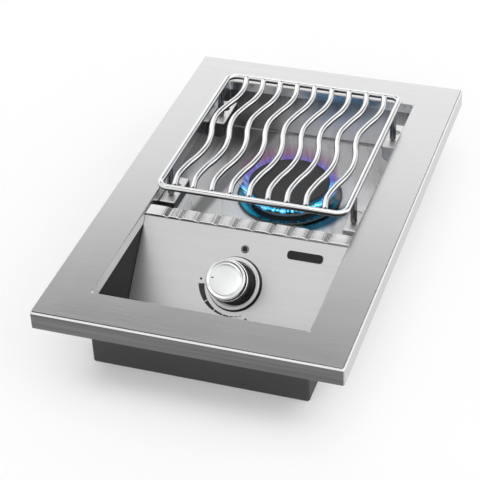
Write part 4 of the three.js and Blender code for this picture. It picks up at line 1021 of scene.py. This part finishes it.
class SIDEBURNER_OT_vent_strip(bpy.types.Operator):
    """Vent strip: shallow channel with grooves pressed across it"""

    bl_idname = "sideburner.vent_strip"
    bl_label = "Vent strip"

    sheet, bend = 0.8 * MM, 1.0 * MM
    # Share of the half width, share of the depth
    groove = (
        (-1.68, 0.0), (-1.46, 0.03), (-1.24, 0.12), (-0.97, 0.31), (-0.65, 0.54), (-0.32, 0.78),
        (-0.05, 0.96), (0.09, 1.0), (0.22, 0.94), (0.40, 0.64), (0.60, 0.28), (0.76, 0.07), (0.92, 0.0))

    def execute(self, context):
        sizes = settings().strip
        low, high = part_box("vent_strip")
        top = high[2] / MM
        middle_row = (sizes.groove_count - 1) / 2
        places = [(sizes.groove_shift + (i - middle_row) * sizes.groove_pitch) / MM
                  for i in range(sizes.groove_count)]
        places.insert(0, places[0] - sizes.end_spacing / MM)
        line = [(low[0] / MM, low[1] / MM, top)]
        for place in places:
            for share, depth in self.groove:
                line.append((place + share * sizes.groove_width / 2 / MM, low[1] / MM,
                             top - depth * sizes.groove_depth / MM))
        line.append((high[0] / MM, low[1] / MM, top))
        drawn(line)
        extrude(y=high[1] - low[1])
        pick("EDGE", lambda e: len(e.link_faces) == 1 and (
            all(near(v.co.y, low[1]) for v in e.verts) or all(near(v.co.y, high[1]) for v in e.verts)))
        extrude()
        bpy.ops.transform.resize(value=(1, 1, 0), center_override=(0, 0, low[2]))
        pick("EDGE", lambda e: len(e.link_faces) == 2 and any(
            abs(f.normal.y) > 0.7 for f in e.link_faces) and any(
            abs(f.normal.z) > 0.4 for f in e.link_faces))
        bevel(self.bend, 3)
        thickened(self.sheet, -1)
        settle("strip_pressing", "housing", "strip_steel", ["vent_strip"], angle=40)
        return {"FINISHED"}


class SIDEBURNER_OT_grate(bpy.types.Operator):
    """Grate: frame rod, nine wave rods with their weld beads, and four legs"""

    bl_idname = "sideburner.grate"
    bl_label = "Grate"

    # Swing of a rod at even steps from its front end to its back, as shares of the wave height
    wave = (-0.41, -0.99, -0.55, 0.38, 0.76, 0.35, -0.61, -0.95, -0.24, 0.78, 0.99, 0.29)
    # Weld beads: what the top of the ball and then all of it is squeezed to, and its place at a rod's end
    bead_top, bead_form = (0.8, 0.8, 0.9), (0.85, 0.9, 0.5)
    bead_shift = (0.9 * MM, 0.1 * MM, -0.6 * MM)
    # Legs, in millimetres: how round they are at the foot, and how far they reach into the frame rod
    leg_foot, leg_rise = 2.6, 2

    def execute(self, context):
        sizes = settings().grate
        low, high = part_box("grate_frame_rod")
        level = (low[2] + high[2]) / 2
        self.frame_rod(low, high, level, sizes)
        self.bars(level, sizes)
        self.legs()
        return {"FINISHED"}

    def frame_rod(self, low, high, level, sizes):
        radius, bend = sizes.rim_diameter / 2, sizes.corner_radius
        left, right = low[0] + radius, high[0] - radius
        front, back = low[1] + radius, high[1] - radius
        corners = [(right - bend, back - bend, 0), (left + bend, back - bend, 90),
                   (left + bend, front + bend, 180), (right - bend, front + bend, 270)]
        points = [(*point, level) for x, y, start in corners
                  for point in rounded((x, y), bend, start, start + 90, 10)]
        rod(points, radius, closed=True, fine=6)
        settle("grate_rim", "grate", "rim_chrome", ["grate_frame_rod"], angle=60, even=False)

    def bars(self, level, sizes):
        """The wave rods, each with a weld bead on top of its ends. All are copies of the left one."""
        low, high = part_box("grate_wave_rod_1")
        first = -(sizes.bar_count - 1) / 2 * sizes.bar_pitch
        last = len(self.wave) - 1
        line = catmull([
            (first + share * sizes.wave_height, low[1] + (high[1] - low[1]) * i / last, level)
            for i, share in enumerate(self.wave)], 8)
        rod(line, sizes.bar_diameter / 2, fine=5)
        bar = settle("grate_bar_1", "grate", "chrome", ["grate_wave_rod_1"], angle=60, even=False)
        start_clean()
        bpy.ops.mesh.primitive_uv_sphere_add(segments=14, ring_count=8, radius=sizes.weld_diameter / 2)
        edit()
        pick("VERT", lambda v: v.co.z > 0.3 * sizes.weld_diameter)
        bpy.ops.transform.resize(value=self.bead_top, center_override=(0, 0, 0))
        bpy.ops.mesh.select_all(action="SELECT")
        bpy.ops.transform.resize(value=self.bead_form, center_override=(0, 0, 0))
        right, back, up = self.bead_shift
        place = Matrix.Translation(
            (line[0].x + right, line[0].y + back, level + sizes.bar_diameter / 2 + up))
        bead = settle("weld_front_1", "grate", "weld", place=place, even=False)
        far = self.copy(bead, "weld_back_1", (line[-1].x - line[0].x, line[-1].y - line[0].y, 0))
        for i in range(1, sizes.bar_count):
            shift = (i * sizes.bar_pitch, 0, 0)
            self.copy(bar, f"grate_bar_{i + 1}", shift, f"grate_wave_rod_{i + 1}")
            self.copy(bead, f"weld_front_{i + 1}", shift)
            self.copy(far, f"weld_back_{i + 1}", shift)

    def copy(self, piece, name, shift, *replaced):
        twin = copy_of(piece, name, shift)
        hand_over(twin, "grate", replaced)
        return twin

    def legs(self):
        low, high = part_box("grate_leg_front_left")
        radius = (high[0] - low[0]) / 2 / MM
        bottom, top, foot = low[2] / MM, high[2] / MM + self.leg_rise, self.leg_foot
        turned([
            (0, bottom), *rounded((radius - foot, bottom + foot), foot, -90, 0), (radius, top), (0, top)], 32)
        place = Matrix.Translation(((low[0] + high[0]) / 2, (low[1] + high[1]) / 2, 0))
        # The legs' chrome is a darker copy: painted shade
        leg = settle("grate_post_front_left", "grate", "leg_chrome", ["grate_leg_front_left"],
                     place=place, angle=40)
        for row, side in (("front", "right"), ("back", "left"), ("back", "right")):
            node = f"grate_leg_{row}_{side}"
            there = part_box(node)[0]
            self.copy(leg, f"grate_post_{row}_{side}", (there[0] - low[0], there[1] - low[1], 0), node)


class SIDEBURNER_OT_burner(bpy.types.Operator):
    """Burner: dish, crown with its ports, and cap"""

    bl_idname = "sideburner.burner"
    bl_label = "Burner"

    # In millimetres: how far the two rows of ports lie below the crown's top, and the cap's thickness
    port_drops = (6.4, 3.4)
    cap_thickness = 3.6
    # The drills of the ports: how far out their middle is, and their length
    drill_reach, drill_length = 50 * MM, 20 * MM

    def execute(self, context):
        sizes = settings().burner
        place = Matrix.Translation((0, sizes.middle_y, 0))
        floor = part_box("burner_base")[0][2] / MM
        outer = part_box("burner_base")[1][0] / MM
        turned([
            (13.3, floor), (outer - 0.8, floor), (outer, floor + 0.8),
            *rounded((outer - 1.2, floor + 2.2), 1.2, 0, 180, 8),
            (outer - 3.6, floor + 2.1), (outer - 6.6, floor + 1.6), (22, floor + 1.6),
            *rounded((18.3, floor + 3.6), 2, -60, -180, 4), (16.3, floor + 5), (13.3, floor + 5),
            (13.3, floor)], 120)
        settle("burner_dish", "housing", "cast_iron", ["burner_base"], place)
        self.crown(sizes, place)
        self.cap(place)
        return {"FINISHED"}

    def crown(self, sizes, place):
        low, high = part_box("burner_crown")
        foot, top = low[2] / MM, high[2] / MM
        turned([
            (41.8, foot), (52.8, foot), (52.8, foot + 2), *rounded((52.4, foot + 2.2), 0.4, 0, 70, 2),
            (51.2, foot + 4.2), (50.8, foot + 5), (50.8, top - 0.6), (50.3, top), (39.3, top),
            (39.3, top - 4.5), (46.3, top - 11.5), (46.3, foot + 2.4), (41.8, foot + 2.4), (41.8, foot)],
            112)
        crown = bpy.context.object
        drills = []
        for diameter, drop, half_step in (
                (sizes.port_diameter, self.port_drops[0], 0.0),
                (sizes.small_port_diameter, self.port_drops[1], 0.5)):
            for i in range(sizes.port_count):
                turn = sizes.port_turn + (i + half_step) / sizes.port_count * FULL_TURN
                start_clean()
                across, along = self.drill_reach * math.cos(turn), self.drill_reach * math.sin(turn)
                bpy.ops.mesh.primitive_cylinder_add(
                    vertices=20, radius=diameter / 2, depth=self.drill_length,
                    location=(across, along, (top - drop) * MM),
                    rotation=(math.pi / 2, 0, turn + math.pi / 2))
                drills.append(bpy.context.object)
        drilled(crown, joined(drills))
        # Darker copy of cast aluminium: painted shade under the cap
        settle("crown_casting", "housing", "crown_metal", ["burner_crown"], place)

    def cap(self, place):
        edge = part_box("burner_cap")[1]
        outer, top = edge[0] / MM, edge[2] / MM
        under = top - self.cap_thickness
        turned([
            (0, under), (35.8, under), (35.8, under - 3), (38.8, under - 3), (38.8, under),
            (outer - 1.4, under), *rounded((outer - 1.4, under + 1.4), 1.4, -90, 0, 4),
            *rounded((outer - 1.5, top - 1.5), 1.5, 0, 90, 5), (outer - 5, top - 0.1),
            (outer - 16, top - 0.5), (20, top - 0.75), (0, top - 0.8)], 120)
        settle("cap_enamelled", "cap", "black_enamel", ["burner_cap"], place)


class SIDEBURNER_OT_igniter(bpy.types.Operator):
    """Igniter: ceramic foot with grooves and a bent wire"""

    bl_idname = "sideburner.igniter"
    bl_label = "Igniter"

    turn, reach, wire_radius = math.radians(-6), 57 * MM, 0.9 * MM
    # Where the wire goes, in millimetres: outwards, and up from the foot of the ceramic
    wire = ((0, 8), (0, 11), (-1.3, 13), (-2.6, 13))

    def execute(self, context):
        place = Matrix.Translation((0, settings().burner.middle_y, 0)) @ Matrix.Rotation(self.turn, 4, "Z")
        place = place @ Matrix.Translation((self.reach, 0, 0))
        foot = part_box("igniter_electrode")[0][2] / MM
        turned([
            (0, foot), (2.7, foot), (2.7, foot + 2), (2.3, foot + 2.4), (2.3, foot + 3), (2.7, foot + 3.4),
            (2.7, foot + 5), (2.3, foot + 5.4), (2.3, foot + 6), (2.7, foot + 6.4), (2.7, foot + 8.2),
            (2, foot + 9), (0, foot + 9)], 32)
        settle("igniter_ceramic", "housing", "ceramic", ["igniter_electrode"], place, angle=50)
        rod(catmull([(x * MM, 0, (foot + z) * MM) for x, z in self.wire], 6), self.wire_radius, fine=3)
        settle("igniter_wire", "housing", "cast_aluminium", place=place, even=False)
        return {"FINISHED"}


class SIDEBURNER_OT_flames(bpy.types.Operator):
    """Gas flames: tongues that leave each port and lick up round the cap, inside a thin violet haze"""

    bl_idname = "sideburner.flames"
    bl_label = "Flames"

    # Turn from the main port in degrees, share of the full length, share of the full thickness
    tongues = ((-2.6, 0.84, 0.7), (0.0, 1.0, 1.0), (2.5, 0.90, 0.75), (7.0, 0.62, 0.5), (12.9, 0.78, 0.8),
               (18.4, 0.66, 0.5))
    taper = (0.55, 0.85, 1.0, 1.0, 0.92, 0.8, 0.66, 0.5, 0.34, 0.2, 0.05)
    # Where the ports end, how far below the crown's top, how far a tongue sinks, and how late it rises
    port_edge, port_drop, sink, curl = 50.5 * MM, 6.4 * MM, 0.7 * MM, 1.9
    # The haze: radius in millimetres and share of its height, and how far below the crown's top it starts
    haze = ((53.6, 0.0), (57.5, 0.1), (61, 0.3), (63.5, 0.6), (64.5, 1.0))
    haze_drop = 4

    def execute(self, context):
        sizes = settings().burner
        shades = settings().colours
        core, body = tuple(shades.flame_core), tuple(shades.flame_body)
        tip, haze = tuple(shades.flame_tip), tuple(shades.flame_haze)
        far_edge = self.port_edge + sizes.flame_reach
        middle = Matrix.Translation((0, sizes.middle_y, 0))
        # Name, radius in millimetres, density, strength, where the last colour is reached, colours
        for name, radius, density, strength, end, stops in (
                ("flame_core", 1.2, 2.8, 2.6, far_edge - MM,
                 [(0.0, core), (0.5, core), (0.8, body), (1.0, tip)]),
                ("flame_mantle", 3.4, 1.3, 1.2, far_edge + 4 * MM,
                 [(0.0, body), (0.4, body), (0.6, tip), (1.0, tip)])):
            fan = [self.tongue(sizes, radius * MM, *shape) for shape in self.tongues]
            ring = []
            for i in range(sizes.port_count):
                turn = sizes.port_turn + i / sizes.port_count * FULL_TURN
                ring += [copy_of(piece, "tongue", turn=turn) for piece in fan]
            for piece in fan:
                bpy.data.objects.remove(piece)
            joined(ring)
            light = flame_light(name, stops, self.port_edge, end, density, strength)
            settle("burner_" + name, "housing", light, place=middle, even=False, angle=180)
        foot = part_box("burner_crown")[1][2] / MM - self.haze_drop
        rise = sizes.haze_rise / MM
        turned([(radius, foot + share * rise) for radius, share in self.haze], 120)
        light = flame_light(
            "flame_haze", [(0.0, tip), (0.45, haze), (1.0, haze)], foot * MM, (foot + rise) * MM, 1.2, 1.0,
            upwards=True)
        settle("burner_flame_haze", "housing", light, place=middle, even=False, angle=180)
        return {"FINISHED"}

    def tongue(self, sizes, radius, turn, extent, thickness):
        """One tongue of flame: it leaves its port level, sinks a little and turns upwards."""
        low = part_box("burner_crown")[1][2] - self.port_drop
        last = len(self.taper) - 1
        turn = math.radians(turn)
        points = []
        for i in range(last + 1):
            share = i / last
            out = self.port_edge + sizes.flame_reach * extent * share
            up = low - self.sink * math.sin(share * math.pi) + sizes.flame_rise * extent * share ** self.curl
            points.append((out * math.cos(turn), out * math.sin(turn), up))
        rod(points, radius * thickness, fine=2, taper=self.taper)
        return bpy.context.object


class SIDEBURNER_OT_knob(bpy.types.Operator):
    """Knob: black grip, chrome ring, dished chrome face and its pointer"""

    bl_idname = "sideburner.knob"
    bl_label = "Knob"

    # The pointer: its inner end on the face, its half width, its length, its height and its rounded edge
    pointer_place, pointer_radius = (-15.0 * MM, 0, 44.5 * MM), 0.7 * MM
    pointer_length, pointer_height, pointer_edge = 1.6 * MM, 0.3 * MM, 0.1 * MM

    def execute(self, context):
        sizes = settings().knob
        place = panel_place()
        skirt = sizes.skirt_diameter / 2 / MM
        turned([
            (0, 7.5), (7.5, 7.5), (7.5, 15), (19, 15), (skirt - 2.6, 5), (skirt - 0.5, 5), (skirt, 5.5),
            *rounded((skirt - 1.6, 11.4), 1.6, 0, 80), (23.6, 14.4), (22.9, 16), (22.75, 18),
            (23.2, 27), (23.5, 33.3), (23.7, 34.3), (23.9, 34.4), (23.9, 36.2), (21.6, 36.3), (21.6, 37.3),
            (19.9, 37.3), (19.9, 38.2), (0, 38.2)], 120)
        settle("grip_turned", "knob", "black_plastic", ["knob_grip"], place, angle=28)
        ring = sizes.ring_diameter / 2 / MM
        turned([
            (24.1, 34.6), (ring - 0.6, 34.6), *rounded((ring - 0.7, 35.7), 0.7, -70, 80, 6), (24.3, 36.6),
            (24.1, 36.3), (24.1, 34.6)], 120)
        settle("ring_turned", "knob", "knob_chrome", ["knob_ring"], place, angle=50)
        face = sizes.face_diameter / 2 / MM
        turned([
            (0, 38.6), (20.4, 38.6), (20.6, 40.9), (face - 1.6, 41.2),
            *rounded((face - 1.7, 43.3), 1.7, -60, 110, 9), (face - 2.9, 44.5), (face - 3.4, 44.2),
            (face - 4.1, 43.7), (face - 4.7, 43.75), (face - 5.4, 44.1), (face - 6.3, 44.35), (14, 44.5),
            (7, 44.65), (0, 44.7)], 128)
        settle("face_turned", "knob", "knob_chrome", ["knob_cap"], place, angle=50)
        start_clean()
        bpy.ops.mesh.primitive_cylinder_add(
            vertices=24, radius=self.pointer_radius, depth=self.pointer_height, location=self.pointer_place)
        edit()
        pick("VERT", lambda v: v.co.x < 0)
        bpy.ops.transform.translate(value=(-self.pointer_length, 0, 0))
        pick("EDGE", lambda e: all(v.co.z > 0 for v in e.verts))
        bevel(self.pointer_edge, 2)
        settle("knob_pointer", "knob", "print", place=place)
        return {"FINISHED"}


class SIDEBURNER_OT_bezel(bpy.types.Operator):
    """Bezel: black foot and a ring finished near white as a painted highlight"""

    bl_idname = "sideburner.bezel"
    bl_label = "Bezel"

    def execute(self, context):
        place = panel_place()
        outer = settings().knob.bezel_diameter / 2 / MM
        # The foot's base flares out past the ring; this black crescent stands in partly for shade round the bezel
        turned([
            (outer - 3, 0.3), (outer + 1.6, 0.3), (outer + 1.7, 0.8), (outer + 0.6, 2.4), (outer - 0.2, 4.4),
            (outer - 0.4, 5.9), (outer - 3, 5.9), (outer - 3, 0.3)], 120)
        settle("bezel_foot", "housing", "black_plastic", ["bezel_base"], place)
        # The ring's finish is near white and only partly metallic: a painted highlight
        turned([
            (outer - 4.3, 6.2), (outer - 0.1, 6.2), *rounded((outer - 0.6, 7.4), 0.6, -20, 88, 5),
            (outer - 1.9, 8.0), (outer - 3.2, 8.0), *rounded((outer - 3.8, 7.5), 0.5, 88, 180, 3),
            (outer - 4.3, 6.2)], 120)
        settle("bezel_ring", "housing", "satin_ring", ["bezel_face"], place, angle=40)
        return {"FINISHED"}


class SIDEBURNER_OT_panel_marks(bpy.types.Operator):
    """Print on the panel: a scale that thins out towards low flame, with a start and an end mark"""

    bl_idname = "sideburner.panel_marks"
    bl_label = "Panel marks"

    # Angle below nine o'clock in degrees, width in millimetres
    widths = ((7.0, 7.8), (38.0, 5.1), (60.0, 3.0), (78.0, 2.0), (98.0, 1.0), (114.0, 0.6))
    # Angles where the scale starts, is parted and ends, and half a gap
    partings = (7.0, 38.6, 60.5, 78.2, 90.5, 99.5, 107.0, 114.0)
    half_gap = 0.7
    # Name, angle, radius, number of corners, half width and half height of the marks at its ends
    end_marks = (("start_print", 0.0, 43.0, 24, 1.5, 1.5), ("end_print", 118.3, 44.4, 3, 2.3, 1.7))
    # Height of the ink's underside above the panel, its thickness, and how fast the scale drifts outwards
    ink_foot, ink_height, drift = 0.01, 0.06, 0.01

    def execute(self, context):
        joined([self.dash(start + self.half_gap, end - self.half_gap)
                for start, end in zip(self.partings, self.partings[1:])])
        settle("scale_print", "housing", "print", place=panel_place(), even=False)
        for name, turn, radius, count, width, height in self.end_marks:
            across, along = self.spot(turn, radius)
            corners = [math.radians(90 + i * 360 / count) for i in range(count)]
            self.ink([(across + width * math.cos(corner), along + height * math.sin(corner))
                      for corner in corners])
            settle(name, "housing", "print", place=panel_place(), even=False)
        return {"FINISHED"}

    def spot(self, turn, radius):
        return -radius * math.cos(math.radians(turn)), -radius * math.sin(math.radians(turn))

    def ink(self, outline):
        filled([(*point, self.ink_foot) for point in outline], self.ink_height)

    def width(self, turn):
        for (start, first), (end, last) in zip(self.widths, self.widths[1:]):
            if turn <= end:
                return first + (last - first) * (turn - start) / (end - start)
        return self.widths[-1][1]

    def dash(self, start, end):
        """One length of the scale, from one angle below nine o'clock to another, in degrees."""
        inner = settings().knob.scale_radius / MM
        steps = max(3, int((end - start) / 2))
        turns = [start + (end - start) * i / steps for i in range(steps + 1)]
        outline = [(turn, inner + turn * self.drift) for turn in turns]
        outline += [(turn, inner + turn * self.drift + self.width(turn)) for turn in turns[::-1]]
        self.ink([self.spot(turn, radius) for turn, radius in outline])
        return bpy.context.object


class SIDEBURNER_OT_indicator(bpy.types.Operator):
    """Indicator: dull rim with a dark dome"""

    bl_idname = "sideburner.indicator"
    bl_label = "Indicator"

    # To the right of the knob's axis, and up the slope from it
    side, up = 4 * MM, 43.6 * MM

    def execute(self, context):
        place = panel_place(self.side, self.up)
        turned([
            (3.0, 0.3), (5.0, 0.3), (4.9, 0.9), (4.3, 1.6), (3.8, 1.7), (3.2, 1.4), (3.0, 1.0), (3.0, 0.3)],
            64)
        settle("indicator_rim", "housing", "grey_plastic", ["indicator_ring"], place)
        turned([
            (0, -4), (2.7, -4), (2.7, 0.5), *rounded((1.5, 0.1), 1.2, 10, 80, 4), (0.8, 1.15), (0, 1.05)], 48)
        settle("indicator_dome", "housing", "black_plastic", ["indicator_lens"], place)
        return {"FINISHED"}


class SIDEBURNER_OT_blank_plate(bpy.types.Operator):
    """Plain dark plate on the panel"""

    bl_idname = "sideburner.blank_plate"
    bl_label = "Plain plate"

    side, up = 78.6 * MM, 45.8 * MM
    half_length, half_height = 22 * MM, 5.2 * MM
    under, top = 0.3 * MM, 1.3 * MM
    corner, edge = 4 * MM, 0.35 * MM

    def execute(self, context):
        block((-self.half_length, -self.half_height, self.under),
              (self.half_length, self.half_height, self.top))
        pick("EDGE", upright)
        bevel(self.corner, 8)
        pick("EDGE", lambda e: level_at(e, self.top, 0.05 * MM))
        bevel(self.edge, 3)
        settle("blank_plate", "housing", "black_plastic", ["plain_plate"],
               panel_place(self.side, self.up))
        return {"FINISHED"}


class SIDEBURNER_OT_plain_nodes(bpy.types.Operator):
    """Finishes of the pieces whose shape comes straight from the frame"""

    bl_idname = "sideburner.plain_nodes"
    bl_label = "Finishes of the frame's pieces"

    def execute(self, context):
        slots = {part["node"]: part["material_slot"] for part in frame["record"]["subparts"]}
        for name, node in frame["nodes"].items():
            # The brackets get a lighter copy of the satin finish: painted light
            slot = "bracket_steel" if name.startswith("grate_bracket") else slots[name]
            node.data.materials.clear()
            node.data.materials.append(finish_of(slot))
        return {"FINISHED"}


class SIDEBURNER_OT_stage(bpy.types.Operator):
    """Stage: pale floor, soft studio sky and the camera"""

    bl_idname = "sideburner.stage"
    bl_label = "Stage"

    # The camera that was solved from the photograph
    camera_place = (0.53229, -1.55704, 1.22057)
    camera_turn = (53.889936, 2.266899, 18.388994)
    sensor_width = 36

    def execute(self, context):
        stage = settings().stage
        start_clean()
        bpy.ops.mesh.primitive_plane_add(size=stage.floor_size, location=(0, 0, 0))
        floor = context.object
        floor.name = "studio_floor"
        floor.data.materials.append(self.paper(tuple(stage.floor_colour), stage.shadow))
        self.sky(context, stage)
        bpy.ops.object.camera_add(
            location=self.camera_place, rotation=Euler([math.radians(v) for v in self.camera_turn]))
        camera = context.object
        camera.name = "photo_camera"
        camera.data.lens = stage.lens
        camera.data.sensor_width = self.sensor_width
        camera.data.clip_end = 100
        context.scene.camera = camera
        context.scene.view_settings.view_transform = "Standard"
        return {"FINISHED"}

    def paper(self, shade, shadow):
        """White paper whose shadow shows softly to the camera, stronger just before the unit and fainter at its
        right.
        """
        finish = Finish("floor_paper")
        finish.constant(Roughness=0.9, Specular_IOR_Level=0.0)
        finish.surface(base_color=finish.ramp(finish.noise(3, 2.0), toned(shade, (0.2, 0.995), (0.8, 1.0))))
        x, y, _ = finish.parts()
        near_unit = y.step(-0.335, -0.275) * abs(x).step(0.165, 0.10)
        shadow = shadow * (1.0 - x.step(0.10, 0.26) * y.step(-0.42, -0.28) * 0.8 + near_unit * 0.75)
        white = finish.node("Emission", sockets={"Color": (1, 1, 1, 1), "Strength": 1.0})
        mixed = finish.node("MixShader", sockets={
            0: finish.seen_by("Camera", "Glossy") * (1.0 - shadow), 1: finish.shader.outputs[0],
            2: white.outputs[0]})
        finish.join(finish.out.inputs["Surface"], mixed.outputs[0])
        return finish.material

    def sky(self, context, stage):
        """A soft studio sky, white low all round: a bright screen at the left behind the unit with a grey
        gap above it, another gap at its right, and a bright screen high before it with a dim band above."""
        world = bpy.data.worlds.new("studio_sky")
        context.scene.world = world
        world.use_nodes = True
        sky = Nodes(world.node_tree)
        x, y, z = sky.split(sky.node("TexCoord").outputs["Generated"])
        flat = (x * x + y * y + 0.000001) ** 0.5
        side, ahead = x / flat, y / flat
        back = ahead.step(0.2, 0.6)
        front = ahead.step(-0.1, -0.5)
        left = back * side.step(0.12, -0.05)
        height = z - (side + 0.34) * 0.14
        screen = left * height.step(0.62, 0.53)
        gap = left * height.step(0.57, 0.63) * height.step(0.74, 0.68)
        right = back * side.step(0.05, 0.2) * side.step(0.8, 0.6) * z.step(0.40, 0.50) * z.step(0.80, 0.70)
        high = front * z.step(0.55, 0.68) * z.step(0.86, 0.80) * (0.4 + side.step(-0.42, -0.28) * 1.5)
        dim = front * z.step(0.79, 0.84) * z.step(0.95, 0.91) * (1.0 - side.step(-0.46, -0.30) * 0.6)
        level = stage.overhead + z.step(0.78, 0.92) * stage.zenith
        level = level + screen * stage.back_screen - gap * stage.back_gap - right * stage.right_gap
        level = level + high * stage.front_screen - dim * stage.front_gap
        level = level + x.step(0.5, 0.8) * stage.right_screen
        low = z.step(0.1, 0.03)
        level = level * (1.0 - low) + low
        seen = sky.seen_by("Camera")
        level = level * (1.0 - seen) + seen
        light = sky.node("Background", sockets={"Color": (1, 1, 1, 1), "Strength": level})
        sky.node("OutputWorld", sockets={0: light.outputs[0]})


OPERATORS = [
    SIDEBURNER_OT_stage,
    SIDEBURNER_OT_plain_nodes,
    SIDEBURNER_OT_top_frame,
    SIDEBURNER_OT_bowl,
    SIDEBURNER_OT_trough,
    SIDEBURNER_OT_vent_strip,
    SIDEBURNER_OT_grate,
    SIDEBURNER_OT_burner,
    SIDEBURNER_OT_igniter,
    SIDEBURNER_OT_flames,
    SIDEBURNER_OT_knob,
    SIDEBURNER_OT_bezel,
    SIDEBURNER_OT_panel_marks,
    SIDEBURNER_OT_indicator,
    SIDEBURNER_OT_blank_plate,
]


class SIDEBURNER_PT_panel(bpy.types.Panel):
    """Lists the pieces of the side burner"""

    bl_idname = "SIDEBURNER_PT_panel"
    bl_label = "Side Burner"
    bl_space_type = "VIEW_3D"
    bl_region_type = "UI"
    bl_category = "Side Burner"

    def draw(self, context):
        for operator in OPERATORS:
            self.layout.operator(operator.bl_idname, text=operator.bl_label)


GROUPS = [
    SheetSizes, StripSizes, GrateSizes, BurnerSizes, KnobSizes, Colours, StageSettings,
    SideBurnerSettings,
]


def register():
    for kind in GROUPS + OPERATORS + [SIDEBURNER_PT_panel]:
        bpy.utils.register_class(kind)
    bpy.types.Scene.side_burner = bpy.props.PointerProperty(type=SideBurnerSettings)


def unregister():
    del bpy.types.Scene.side_burner
    for kind in reversed(GROUPS + OPERATORS + [SIDEBURNER_PT_panel]):
        bpy.utils.unregister_class(kind)


def main():
    register()
    for operator in OPERATORS:
        group, name = operator.bl_idname.split(".")
        getattr(getattr(bpy.ops, group), name)()
    start_clean()


if __name__ == "__main__":
    main()
